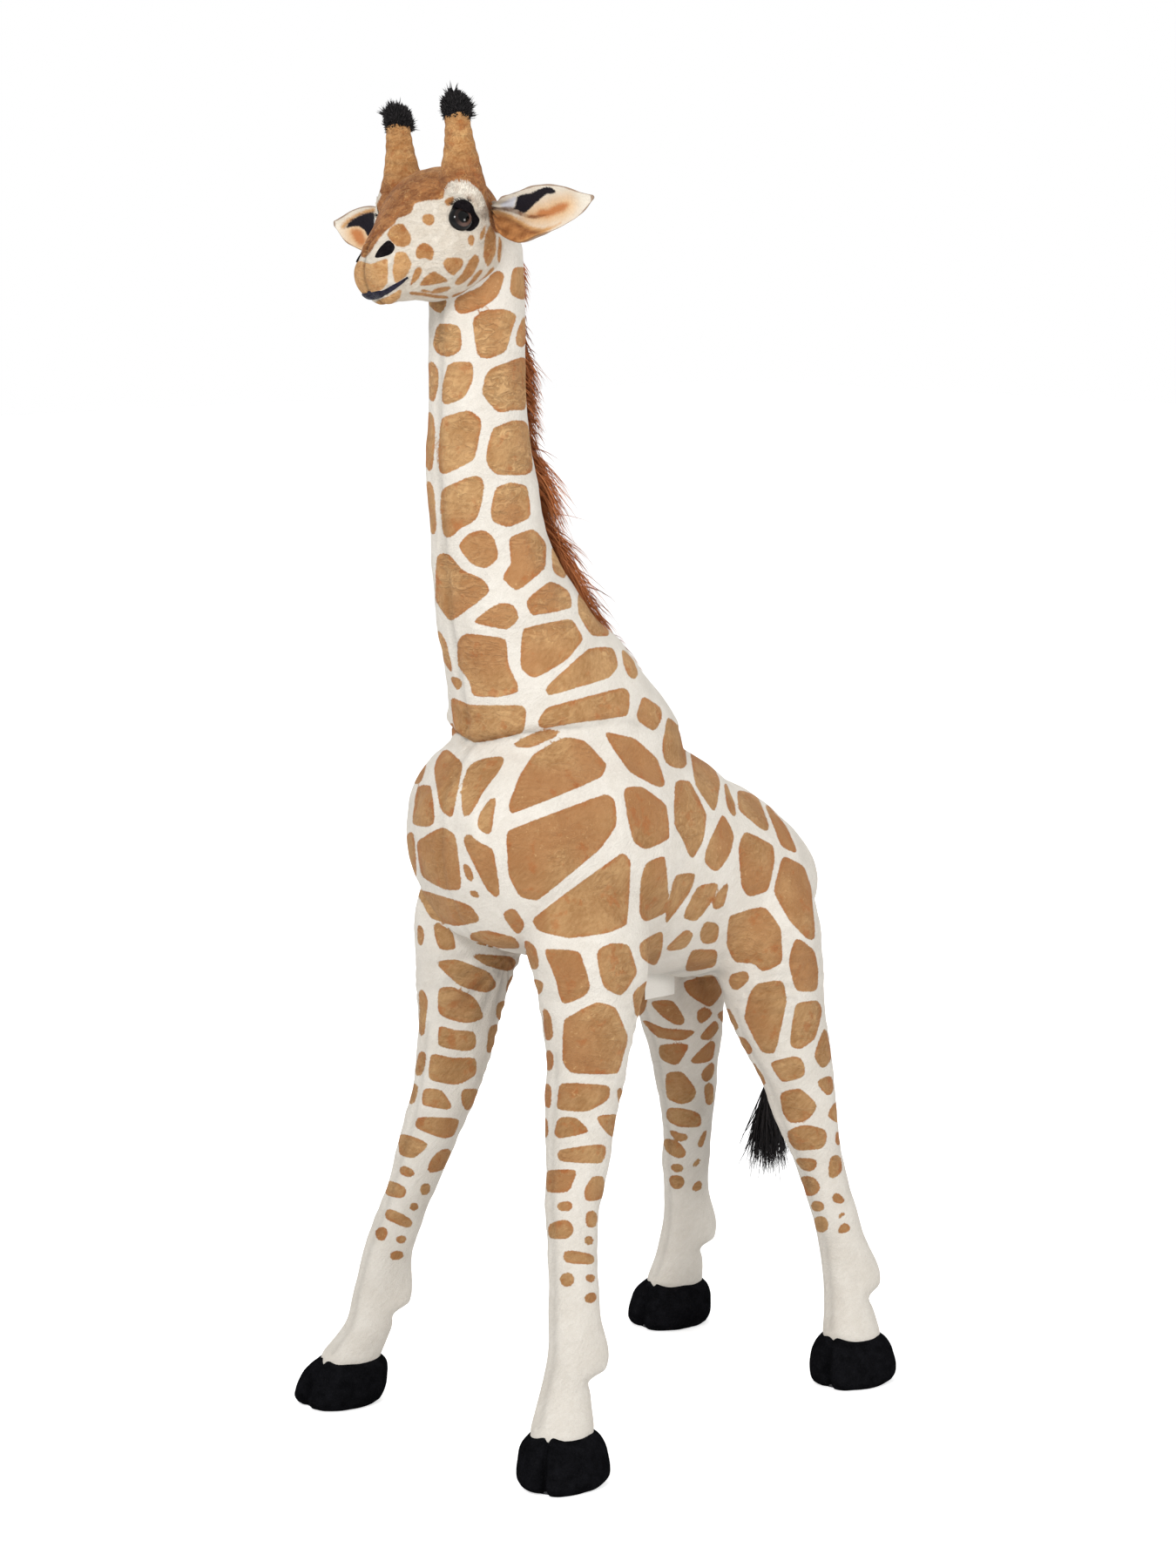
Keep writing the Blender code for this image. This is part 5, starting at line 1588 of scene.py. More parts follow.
    def build(self) -> bpy.types.Object:
        """Makes the cover, which stands for the torso, the neck and the legs.

        Returns:
            The piece.
        """
        shell = self.form()
        normals, points = shell.normals(), shell.points
        calm = np.clip((NOD_POINT[2] - points[:, 2]) / 0.05, 0, 1) * np.clip((points[:, 2] - 0.16) / 0.05, 0.35, 1)
        fold, move = self.folds(points, normals)
        uneven = waves(points, 11, 0.045) * 0.0013 + waves(points, 12, 0.016) * 0.0004
        shell = shell.pushed(move + (self.heels(points, normals) + uneven * calm))
        self.tree = shell.tree()
        coat = Coat(shell)
        inside = coat.mirrored(coat.placed(NECK_PATCHES + TRUNK_PATCHES, 3.0) + 0.0014)
        height = shell.points[:, 2]
        allowed = (height > self.low_edge) & (height < self.high_edge)
        inside = coat.settled(coat.filled(inside, np.interp(height, *np.array(self.spacing).T), allowed), 10)
        # The fold depth goes to the finish as painted shade.
        piece = mesh_object("body_cover", shell, Finish.COAT.get(), {"patch": inside, "crease": fold})
        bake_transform(piece)
        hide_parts("torso", "neck", "leg_front_left", "leg_front_right", "leg_rear_left", "leg_rear_right")
        return piece


# Fur

TAPER = (0.7, 1.0, 0.85, 0.62, 0.34)
STRAND_SIDES = 3


def fur(roots: Array, ways: Array, bends: Array, lengths: Array, thick: Array) -> Shell:
    """Strands of fur, each a thin closed spindle: its point at share t is root + way · length · t + bend · length · t².

    Args:
        roots: where the strands start.
        ways: unit directions in which they start.
        bends: how they turn away, as vectors.
        lengths: their lengths.
        thick: their radius near the root.

    Returns:
        One shell of all strands.
    """
    rings, count = len(TAPER), len(roots)
    share = np.linspace(0, 1, rings + 1)[:-1]
    spine = (roots[:, None] + ways[:, None] * (lengths[:, None] * share)[..., None]
             + bends[:, None] * (lengths[:, None] * share**2)[..., None])
    tip = roots + (ways + bends) * lengths[:, None]
    first = unit(np.cross(ways, np.where(np.abs(ways[:, :1]) < 0.8, ACROSS, ALONG)))
    second = np.cross(ways, first)
    turn = np.linspace(0, 2 * np.pi, STRAND_SIDES, endpoint=False)
    around = first[:, None] * np.cos(turn)[None, :, None] + second[:, None] * np.sin(turn)[None, :, None]
    body = spine[:, :, None] + around[:, None] * (thick[:, None] * np.array(TAPER))[:, :, None, None]
    points = np.concatenate([body.reshape(count, -1, 3), roots[:, None], tip[:, None]], axis=1)
    quads, tris = ring_faces(rings, STRAND_SIDES)
    start = (np.arange(count) * points.shape[1])[:, None, None]
    return Shell(points.reshape(-1, 3), (quads + start).reshape(-1, 4), (tris + start).reshape(-1, 3)).outward()


def per_strand(values: Array) -> Array:
    """One number a strand as one number a point."""
    return np.repeat(values, len(TAPER) * STRAND_SIDES + 2)


def tints(count: int, seed: int) -> Array:
    """A tint for each point of so many strands, the same along a strand."""
    return per_strand(np.random.default_rng(seed).beta(1.6, 1.8, count))


@dataclass
class Mane:
    """The mane: fur in a narrow band down the back of the neck, in locks."""

    neck: Neck
    trunk: Trunk
    half_band: float = 0.0125
    strands: int = 7200
    sunk: float = 0.003
    locks: int = 32
    rows: tuple = ((0.010, 0.005), (0.100, 0.009), (0.180, 0.014), (0.230, 0.032), (0.290, 0.054), (0.380, 0.066),
                   (0.480, 0.062), (0.580, 0.050), (0.690, 0.038), (0.800, 0.032), (0.880, 0.025), (0.940, 0.015),
                   (0.985, 0.013), (1.015, 0.009))

    def build(self) -> bpy.types.Object:
        """Makes the mane, which rides on the trunk and stands for the mane node.

        Returns:
            The piece.
        """
        draw = np.random.default_rng(31)
        up = draw.uniform(self.rows[0][0], self.rows[-1][0], self.strands)
        length = hermite(self.rows, up)[:, 0] * draw.uniform(0.62, 1.18, self.strands)
        roots, wide, deep = self.neck.line(np.clip(up, 0, self.neck.rows[-1][0]))
        across = draw.normal(0, 0.5, self.strands).clip(-1, 1) * self.half_band
        roots[:, 0] = across
        roots[:, 1] += deep * np.sqrt(1 - (across / wide) ** 2) - self.sunk
        back = np.array([0.0, 0.94, 0.34])
        found = [self.trunk.tree.ray_cast(place, Vector(-back), 0.2)[0] for place in (roots + back * 0.1).tolist()]
        roots = np.array([place or root for place, root in zip(found, roots.tolist())]) - back * self.sunk
        lock = waves(roots * [0.3, 0.3, 1.0], 33, 0.030)
        spread = draw.normal(0, 0.22, self.strands) + 0.25 * lock
        ways = unit(np.stack([across / self.half_band * 0.65 + spread, np.full(self.strands, 0.85),
                              draw.normal(-0.40, 0.25, self.strands)], -1))
        bends = np.stack([draw.normal(0, 0.14, self.strands), draw.uniform(-0.40, -0.10, self.strands),
                          draw.uniform(-0.80, -0.35, self.strands) - 0.15 * np.abs(lock)], -1)
        length *= 1 + 0.22 * lock
        drift = (np.round(up * self.locks + 0.2 * lock) / self.locks - up) * self.neck.length
        bends[:, 2] += (drift / length * 0.7).clip(-0.5, 0.5)
        bends[:, 0] -= (across / length * 0.5).clip(-0.3, 0.3)
        shell = fur(roots, ways, bends, length, draw.uniform(0.0006, 0.0011, self.strands))
        tint = tints(self.strands, 32) * 0.8 + 0.1 + 0.22 * per_strand(lock)
        piece = mesh_object("mane_fur", shell, Finish.MANE_HAIR.get(), {"tint": tint.clip(0, 1)})
        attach(piece, "trunk")
        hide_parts("mane")
        return piece


# Head


@dataclass
class Head:
    """The head and the horns as one cover, in the frame of the nod."""

    yaw: float = 3.0
    roll: float = 7.0
    length: float = 0.144
    width: float = 0.133
    height: float = 0.130
    back: float = 0.018
    voxel: float = 0.0019
    rows: tuple = (
        (0, 0.185, 0.450, 0.460), (0.095, 0.190, 0.750, 0.770), (0.253, 0.210, 0.955, 0.965),
        (0.436, 0.205, 1.000, 1.030), (0.599, 0.185, 0.940, 0.955), (0.741, 0.110, 0.790, 0.820),
        (0.865, 0.020, 0.650, 0.655), (0.950, -0.036, 0.565, 0.548), (1.000, -0.055, 0.450, 0.430))
    horn_gap: float = 0.0486
    horn_forward: float = 0.045
    horn_root_up: float = 0.062
    horn_height: float = 0.079
    horn_radius: float = 0.0245
    horn_rows: tuple = ((0, 1.0), (0.32, 0.82), (0.60, 0.64), (1, 0.50))
    swellings: tuple = (
        ((462, 308), 0.0125, 0.0034), ((433, 316), 0.0120, 0.0036), ((449, 313), 0.0034, -0.0018),
        ((441, 286), 0.0070, -0.0030), ((433, 280), 0.0050, 0.0016), ((545, 223), 0.0110, 0.0050),
        ((524, 212), 0.0100, 0.0040), ((500, 258), 0.0130, -0.0022), ((520, 296), 0.0200, 0.0030),
        ((482, 300), 0.0090, -0.0016), ((447, 344), 0.0090, 0.0020), ((469, 320), 0.0050, -0.0016),
        ((534, 251), 0.0130, -0.0010))
    tree: BVHTree = field(init=False)

    def matrix(self) -> Array:
        """From the head's frame to the row frame."""
        turning = Matrix.Rotation(math.radians(-self.yaw), 4, "Z") @ Matrix.Rotation(math.radians(-self.roll), 4, "Y")
        return np.array(Matrix.Translation(NOD_POINT) @ turning)

    def mirror(self) -> Array:
        """Swaps the head's left and right in the row frame."""
        matrix = self.matrix()
        return matrix @ np.diag([-1.0, 1, 1, 1]) @ np.linalg.inv(matrix)

    def sided(self, shell: Shell, side: float) -> Shell:
        """A shell of the left side, or its mirror image on the right."""
        return shell if side > 0 else shell.moved(self.mirror()).outward()

    def own(self, points: Array) -> Array:
        """Points of the row frame in the head's frame."""
        return through(points, np.linalg.inv(self.matrix()))

    def horn_root(self, side: float, up: float) -> Array:
        """A point on a horn's line, up above the nod."""
        return np.array([side * self.horn_gap, -self.horn_forward, up])

    def spot(self, pixels: Array) -> tuple[Array, Array]:
        """Where pixels of the photograph lie on the cover, in the row frame.

        Args:
            pixels: places in the 1350 by 1800 frame.

        Returns:
            The points and the cover's outward normals there. A line that misses takes the cover's nearest point.
        """
        eye, found = Vector(VIEW.place()), []
        for way in VIEW.lines(np.asarray(pixels, float)).tolist():
            hit = self.tree.ray_cast(eye, Vector(way))
            if hit[0] is None:
                near = eye + Vector(way) * float(np.linalg.norm(VIEW.place() - np.array(NOD_POINT)))
                hit = self.tree.find_nearest(near)
            found.append(hit[:2])
        return np.array([place for place, _ in found]), np.array([normal for _, normal in found])

    def form(self) -> Shell:
        """The head and horns in the head's own frame: upright rings from nape to nose, and level rings up a horn.

        Returns:
            The cover without its face.
        """
        along = np.linspace(0, 1, 90)
        up, wide, high = hermite(self.rows, along).T
        centres = np.stack([0 * along, self.back - along * self.length, up * self.height], -1)
        halves = np.stack([wide * self.width / 2, high * self.height / 2], -1)
        parts = [stuffed(centres, halves, UPWARDS, 140, (0.013, 0.012), 14)]
        rise = np.linspace(-0.25, 1, 60)
        radius = hermite(self.horn_rows, rise.clip(0, 1)) * self.horn_radius
        for _, side in SIDES:
            centres = self.horn_root(side, self.horn_root_up) + np.outer(rise * self.horn_height, UPWARDS)
            parts.append(stuffed(centres, radius, ALONG, 72, (0.003, 0.010), 8))
        shell = remeshed(parts, self.voxel)
        joint = np.zeros(len(shell.points))
        for _, side in SIDES:
            ring = (side * (self.horn_gap - 0.004), -self.horn_forward, self.horn_root_up + 0.006)
            joint = np.maximum(joint, bump(shell.points, ring, (0.030, 0.032, 0.014)))
        return shell.relaxed(60, 0.5 * joint, 0.80)

    def folds(self, points: Array) -> Array:
        """Uneven folds across the horns, from −1 to 1: sin(560 z + 160 x + 3 · waves), and 0 below the horns."""
        x, _, z = points.T
        return np.clip((z - 0.075) / 0.01, 0, 1) * np.sin(z * 560 + x * 160 + waves(points, 43, 0.03) * 3)

    def sculpted(self, shell: Shell) -> Shell:
        """The form with its brows, cheeks, muzzle and folds, each a soft swelling at a pixel of the photograph.

        Args:
            shell: the form, in the head's frame.

        Returns:
            The sculpted cover, in the same frame.
        """
        points, normals = shell.points, shell.normals()
        move = waves(points, 41, 0.040) * 0.0007 + waves(points, 42, 0.012) * 0.0002
        places, _ = self.spot(np.array([pixel for pixel, _, _ in self.swellings]))
        for place, (_, size, height) in zip(self.own(places), self.swellings):
            for _, side in SIDES:
                move += bump(points, place * np.array([side, 1, 1]), (size, size, size), height)
        narrow = np.clip((-0.078 - points[:, 1]) / 0.045, 0, 1)
        points = points.copy()
        points[:, 0] *= 1 - 0.17 * narrow * narrow * (3 - 2 * narrow)
        x, y, z = points.T
        move -= bell(x, 0, 0.0030) * (y < -0.095) * (z < 0.03) * 0.0016
        move += self.folds(points) * 0.00030
        return Shell(points + normals * move[:, None], shell.quads, shell.tris)

    def pattern(self, shell: Shell, points: Array) -> dict[str, Array]:
        """The numbers that the face's finish reads.

        Args:
            shell: the cover in the row frame.
            points: its points in the head's frame.

        Returns:
            One array for each kind of area, and how deep in a fold or groove each point is, for painted shade.
        """
        coat = Coat(shell, self.mirror(), horizon=-0.15, slack=0.012, gap=0.005, reach=0.02, faraway=-0.02)
        kinds = {"patch": FACE_PATCHES, "muzzle": MUZZLE_PATCHES, "crown": CROWN_PATCH, "dark": EYE_DARK,
                 "brow": BROW_PATCH}
        numbers = {key: coat.mirrored(coat.placed(text) + 0.0004) for key, text in kinds.items()}
        x, y, z = points.T
        axis = np.hypot(np.abs(x) - self.horn_gap, y + self.horn_forward)
        on_horn = np.minimum(z - 0.070 - np.clip((np.abs(x) - self.horn_gap) * 0.6, -0.02, 0.02), 0.040 - axis)
        away = near_distance(shell.points, shell.points[coat.known])
        behind = np.maximum(np.minimum(z + 0.010, away - 0.003), np.minimum(z - 0.056, 0.030 + y))
        crown = np.maximum(on_horn, np.where(coat.known, -0.02, behind))
        numbers["crown"] = coat.settled(np.maximum(numbers["crown"], crown), 6)
        numbers["horn"] = np.clip((z - 0.078) / 0.02, 0, 1)
        allowed = (numbers["crown"] < -0.004) & (z < 0.05)
        numbers["patch"] = coat.settled(coat.filled(numbers["patch"], np.full(len(z), 0.032), allowed), 6)
        # Painted shade in the groove down the middle of the muzzle's front, and at the bottoms of the horns' folds.
        numbers["crease"] = bell(x, 0, 0.0024) * (y < -0.110) * (z < 0.02) * 0.7
        numbers["crease"] += np.clip(-self.folds(points) - 0.35, 0, 1) * 0.42
        return numbers

    def build(self) -> bpy.types.Object:
        """Makes the cover, which rides on the head and stands for the head and horn nodes.

        Returns:
            The piece.
        """
        form = self.form()
        self.tree = form.moved(self.matrix()).tree()
        own = self.sculpted(form)
        shell = own.moved(self.matrix())
        self.tree = shell.tree()
        piece = mesh_object("head_cover", shell, Finish.FACE.get(), self.pattern(shell, own.points))
        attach(piece, "head")
        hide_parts("head", "horn_left", "horn_right")
        return piece

    def seat(self, along: float, turn: float, depth: float) -> Array:
        """A frame on the head's skin as the eyes' seats have it, local Z outwards, in the head's frame.

        Args:
            along: the share of the way from the nape to the nose.
            turn: degrees up from the head's left side.
            depth: how far it is sunk.

        Returns:
            A 4 by 4 matrix.
        """
        table = np.asarray(self.rows)

        def skin(share: float, degrees: float) -> Vector:
            """A point of the skin.

            Args:
                share: the share of the way to the nose.
                degrees: the turn up from the left side.

            Returns:
                The point.
            """
            up, wide, high = (np.interp(share, table[:, 0], table[:, column]) for column in (1, 2, 3))
            angle = math.radians(degrees)
            return Vector((wide * self.width / 2 * math.cos(angle), self.back - share * self.length,
                           up * self.height + high * self.height / 2 * math.sin(angle)))

        point = skin(along, turn)
        forward = (skin(along + 0.02, turn) - skin(along - 0.02, turn)).normalized()
        around = skin(along, turn + 1) - skin(along, turn - 1)
        normal = around.cross(forward).normalized()
        middle = Vector((0, point.y, np.interp(along, table[:, 0], table[:, 1]) * self.height))
        if normal.dot(point - middle) < 0:
            normal = -normal
        turning = Matrix((forward, normal.cross(forward), normal)).transposed().to_4x4()
        return np.array(Matrix.Translation(point - normal * depth) @ turning)


@dataclass
class Tufts:
    """The black fur tufts that cap the horns: a dark core, and short strands that stand out of it."""

    head: Head
    height: float = 0.0285
    radius: float = 0.0148
    grip: float = 0.20
    rows: tuple = ((0, 0.72), (0.25, 0.95), (0.50, 1.0), (0.75, 0.86), (0.92, 0.52), (1, 0.25))
    strands: int = 1300

    def build(self) -> list[bpy.types.Object]:
        """Makes both tufts, which ride on the head.

        Returns:
            The pieces.
        """
        made = []
        up = np.linspace(0, 1, 16)
        radius = hermite(self.rows, up)[:, 0] * self.radius * 0.88
        for label, side in SIDES:
            root = self.head.horn_root(side, self.head.horn_root_up + self.head.horn_height - self.grip * self.height)
            core = closed_grid(ring_grid(root + np.outer(up * self.height * 0.9, UPWARDS), np.outer(radius, ACROSS),
                                         np.outer(radius, ALONG), 28))
            draw = np.random.default_rng(61 if label == "left" else 62)
            share = draw.uniform(0.0, 1.0, self.strands) ** 0.85
            turn = draw.uniform(0, 2 * np.pi, self.strands)
            around = np.stack([np.cos(turn), np.sin(turn), 0 * turn], -1)
            wide = np.interp(share, up, radius)[:, None]
            roots = root + around * wide * 0.92 + np.outer(share * self.height * 0.88, UPWARDS)
            lift = np.interp(share, [0, 0.3, 0.7, 1], [-0.35, 0.25, 0.9, 2.6])[:, None]
            ways = unit(around + lift * UPWARDS + draw.normal(0, 0.30, around.shape))
            bends = draw.normal(0, 0.18, ways.shape) + np.array([0, 0, 0.12])
            clump = 0.7 + 0.6 * (waves(roots, 64, 0.012) > 0.75)
            length = draw.uniform(0.0035, 0.0080, self.strands) * clump
            hair = fur(roots, ways, bends, length, draw.uniform(0.0005, 0.0010, self.strands))
            tint = np.concatenate([np.full(len(core.points), 0.1), tints(self.strands, 63)])
            tuft = mesh_object("horn_fur_" + label, joined([core, hair]).moved(self.head.matrix()),
                               Finish.BLACK_HAIR.get(), {"tint": tint})
            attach(tuft, "head")
            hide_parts("horn_tuft_" + label)
            made.append(tuft)
        return made


@dataclass
class Ears:
    """Two leaf-shaped ears, cupped forwards, with the lower lobe folded over at the root."""

    length: float = 0.143
    height: float = 0.052
    thickness: float = 0.016
    turns: int = 96
    rings: int = 130
    pivots: dict = field(default_factory=lambda: {
        "left": ((0.996175, 0.008888, 0.086929), (-0.008272, 0.999938, -0.00744), (-0.086989, 0.006692, 0.996187),
                 (0.054314, -0.187058, 1.289712)),
        "right": ((0.999913, 0.008348, 0.010246), (-0.008272, 0.999938, -0.00744), (-0.010307, 0.007355, 0.99992),
                  (-0.066611, -0.18072, 1.274844))})
    rows: tuple = ((0.0, 0.0, 0.34, 0.90), (0.07, -0.080, 0.46, 0.90), (0.14, -0.150, 0.70, 0.80),
                   (0.30, -0.210, 0.97, 0.66), (0.52, -0.130, 0.95, 0.48), (0.74, -0.095, 0.73, 0.40),
                   (0.89, -0.080, 0.42, 0.32), (1.0, 0.0, 0.10, 0.24))
    fold_line: tuple = ((0, 0.25), (0.12, 0.10), (0.25, -0.20), (0.42, -0.52), (0.58, -0.92), (0.66, -1.3))
    cup: tuple = ((0, 0.003), (0.15, 0.015), (0.45, 0.017), (0.8, 0.009), (1.0, 0.001))

    def matrix(self, label: str) -> Array:
        """From an ear's frame to the row frame.

        Args:
            label: left or right.

        Returns:
            A 4 by 4 matrix.
        """
        matrix = np.eye(4)
        matrix[:3] = np.array(self.pivots[label]).T
        return matrix

    def pleat(self, out: Array, level: Array) -> Array:
        """Pleats that spread from the root, sin(13 · (level + 0.9) − 4 · out), and fade with the distance from it."""
        return np.sin((level + 0.9) * 13 - out * 4) * bell(out, 0, 0.30)

    def form(self) -> tuple[Shell, Array, Array, Array]:
        """The left ear in its own frame.

        Each ring is an ellipse across the ear. The cup moves it back by depth · (0.45 − level²), and the folded lobe
        comes forwards below the fold line.

        Returns:
            The shell, and for each point its share of the length, its level from −1 to 1 and how far it faces front.
        """
        out = np.linspace(0, 1, self.rings)
        up, high, thick = hermite(self.rows, out).T
        centres = np.stack([out * self.length, 0 * out, up * self.height], -1)
        grid = ring_grid(centres, np.outer(thick * self.thickness / 2, ALONG),
                         np.outer(high * self.height / 2, UPWARDS), self.turns)
        turn = np.linspace(0, 2 * np.pi, self.turns, endpoint=False)
        level = np.broadcast_to(np.sin(turn)[None], grid.shape[:2])
        cup, line = (np.interp(out, *np.array(table).T)[:, None] for table in (self.cup, self.fold_line))
        lobe = np.clip((line - level) / 0.22, 0, 1)
        lobe = smooth(lobe) * np.clip(out / 0.10, 0, 1)[:, None]
        front = (np.cos(turn) < 0)[None]
        grid[..., 1] += cup * (0.45 - level**2) * (1 - 0.5 * lobe)
        grid[..., 1] -= lobe * np.where(front, 0.0085, 0.0030)
        grid[..., 1] += self.pleat(out[:, None], level) * np.where(front, 0.0015, 0.0006)
        facing = np.broadcast_to(-np.cos(turn)[None], grid.shape[:2]).ravel()
        return (closed_grid(grid), np.append(np.repeat(out, self.turns), [0, 1]), np.append(level.ravel(), [0, 0]),
                np.append(facing, [0, 0]))

    def build(self) -> list[bpy.types.Object]:
        """Makes the ears, which ride on their own bodies.

        Returns:
            The pieces.
        """
        made = []
        form, place, height, facing = self.form()
        form = form.relaxed(2)
        front = np.where(facing > 0.05, 0.0, -0.01)
        back = np.where(facing < -0.05, 0.004, -0.012)
        edge = (1 - np.abs(height)) * np.interp(place, *np.asarray(self.rows)[:, [0, 2]].T) * self.height / 2
        rim = 0.0011 - np.minimum(edge, (1 - place) * self.length * 0.4)
        shade = bell(place, 0, 0.30) * (facing > 0) * np.clip(1 - np.abs(height - 0.2), 0, 1)
        shade = np.maximum(shade, self.pleat(place, height) * (facing > 0) * 0.9)
        for label, side in SIDES:
            shell = Shell(form.points * np.array([side, 1, 1]), form.quads, form.tris).outward()
            shell = shell.pushed(waves(shell.points, 71, 0.018) * 0.0005).moved(self.matrix(label))
            coat = Coat(shell, horizon=-0.1, slack=0.012, reach=0.02, faraway=-0.02)
            numbers = {key: np.maximum(coat.placed(line) + front, -0.02) for key, line in EAR_AREAS[label].items()}
            numbers["lobe"] = np.maximum(numbers["lobe"], np.minimum(back, (0.75 - place) * self.length))
            ear = mesh_object("ear_cover_" + label, shell, Finish.EAR.get(), {**numbers, "rim": rim, "shade": shade})
            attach(ear, "ear_" + label)
            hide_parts("ear_" + label)
            made.append(ear)
        return made


@dataclass
class Face:
    """Eyes with their surrounds and lashes, nostrils and lip, on the head's cover."""

    head: Head
    eye_along: float = 0.548
    eye_turn: float = 9.5
    eye_radius: float = 0.0125
    eye_dome: float = 0.0085
    seat_depth: float = 0.0022
    eye_middle: tuple[float, float] = (533.6, 251.3)
    nostril_middle: tuple[float, float] = (443.0, 285.0)
    lip_line: tuple = ((420, 339, 5.8), (427, 339.7, 6.8), (434, 338.7, 6.9), (441, 336, 5.6), (448, 332, 4.2),
                       (455, 327.8, 3.6), (461, 323.8, 3.0), (468, 318.5, 1.4))
    lash_line: tuple = ((0, 518, 236), (0.4, 526, 229.5), (1, 541, 231))
    lashes_each: int = 40
    brow_tries: int = 4200

    def eyes(self) -> list[bpy.types.Object]:
        """Two glossy domes with low skirts, on the seats of the eyes' nodes.

        Returns:
            The pieces.
        """
        made = []
        turn = np.radians(np.linspace(0, 84, 22))
        radius = np.concatenate([[self.eye_radius * 0.5, self.eye_radius * 0.96], self.eye_radius * np.cos(turn)])
        height = np.concatenate([[-0.002, -0.002], 0.0020 + self.eye_dome * np.sin(turn)])
        shell = closed_grid(ring_grid(np.outer(height, UPWARDS), np.outer(radius, ACROSS), np.outer(radius, ALONG), 72))
        rim = np.linalg.norm(shell.points[:, :2], axis=1) / self.eye_radius
        for label, side in SIDES:
            seat = self.head.seat(self.eye_along, self.eye_turn if side > 0 else 180 - self.eye_turn, self.seat_depth)
            low = ((shell.points[:, 1] * side - shell.points[:, 0] * 0.8) / self.eye_radius * 1.4 + 0.4).clip(0, 1)
            eye = mesh_object("eye_dome_" + label, shell.moved(self.head.matrix() @ seat), Finish.EYE.get(),
                              {"rim": rim, "low": low})
            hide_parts("eye_" + label)
            made.append(eye)
        return made

    def patches(self, name: str, text: str, middle: tuple, thick: float, crown: float, node: str
                ) -> list[bpy.types.Object]:
        """A thin felt patch on each side of the head.

        Rings of the outline are drawn towards its middle, cast on the cover, and lifted by thick · (1 − share⁴) plus
        crown · (1 − share²). Its underside lies below the cover.

        Args:
            name: the pieces' name.
            text: the outline in pixels of the photograph.
            middle: a pixel that sees the whole outline.
            thick: the thickness.
            crown: how far the middle is higher, or lower when below 0.
            node: the name of the nodes that they stand for.

        Returns:
            The two pieces.
        """
        made, share = [], np.array([1.0, 0.985, 0.95, 0.88, 0.78, 0.64, 0.48, 0.32, 0.16, 0.05])
        pixels = np.array(middle) + (rounded(text)[None] - np.array(middle)) * share[:, None, None]
        points, normals = (found.reshape(*pixels.shape[:2], 3) for found in self.head.spot(pixels.reshape(-1, 2)))
        normals = unit(np.broadcast_to(normals.mean(axis=(0, 1)), points.shape) * 0.6 + normals * 0.4)
        lift = thick * (1 - share**4) + crown * (1 - share**2)
        under = (points - normals * 0.0025)[[-1, 4, 0]]
        shell = closed_grid(np.concatenate([under, points + normals * lift[:, None, None]]))
        for label, side in SIDES:
            piece = mesh_object(f"{name}_{label}", self.head.sided(shell, side), Finish.FELT.get())
            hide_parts(f"{node}_{label}")
            made.append(piece)
        return made

    def lip(self) -> bpy.types.Object:
        """The lip: a flat cord from corner to corner, widest in the middle, laid on the cover.

        Returns:
            The piece.
        """
        rows = np.array(self.lip_line)
        points, normals = self.head.spot(rows[:, :2])
        points, normals = self.head.own(points), normals @ self.head.matrix()[:3, :3]
        points[0, 0], normals[0, 0] = 0.0, 0.0
        table = np.column_stack([points, normals, rows[:, 2] * 4.0 / VIEW.focal])
        table = np.vstack([table[:0:-1] * [-1, 1, 1, -1, 1, 1, 1], table])
        fine = np.linspace(0, 1, 120)
        values = hermite(np.column_stack([np.linspace(0, 1, len(table)), table]), fine)
        centre, normal, wide = values[:, :3], unit(values[:, 3:6]), values[:, 6]
        across = unit(np.cross(normal, np.gradient(centre, axis=0)))
        crimp = 1 + 0.16 * np.sin(fine * 70) + 0.14 * np.sin(fine * 113 + 1)
        grid = ring_grid(centre - normal * 0.0004, across * (wide * 0.8)[:, None],
                         normal * (0.0018 * crimp)[:, None], 20)
        piece = mesh_object("lip_cord", closed_grid(grid).moved(self.head.matrix()), Finish.LIP.get())
        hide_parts("lip_line")
        return piece

    def lashes(self) -> list[bpy.types.Object]:
        """Short dark lashes along the upper edge of each eye's surround.

        Returns:
            The pieces.
        """
        made, draw, count = [], np.random.default_rng(77), self.lashes_each
        place, across, down = np.array(self.lash_line).T
        share = np.linspace(0, 1, count)
        pixels = np.stack([np.interp(share, place, across), np.interp(share, place, down)], -1)
        points, normals = self.head.spot(pixels + draw.normal(0, 0.7, pixels.shape))
        rise, ahead = self.head.matrix()[:3, 2], -self.head.matrix()[:3, 1]
        ways = unit(normals * 0.55 + rise * 0.8 + ahead * 0.45 + draw.normal(0, 0.14, normals.shape))
        bends = -rise * 0.30 + draw.normal(0, 0.12, normals.shape)
        hair = fur(points, ways, bends, draw.uniform(0.005, 0.009, count), np.full(count, 0.00026))
        for label, side in SIDES:
            lash = mesh_object("lashes_" + label, self.head.sided(hair, side), Finish.BLACK_HAIR.get(),
                               {"tint": tints(count, 78)})
            made.append(lash)
        return made

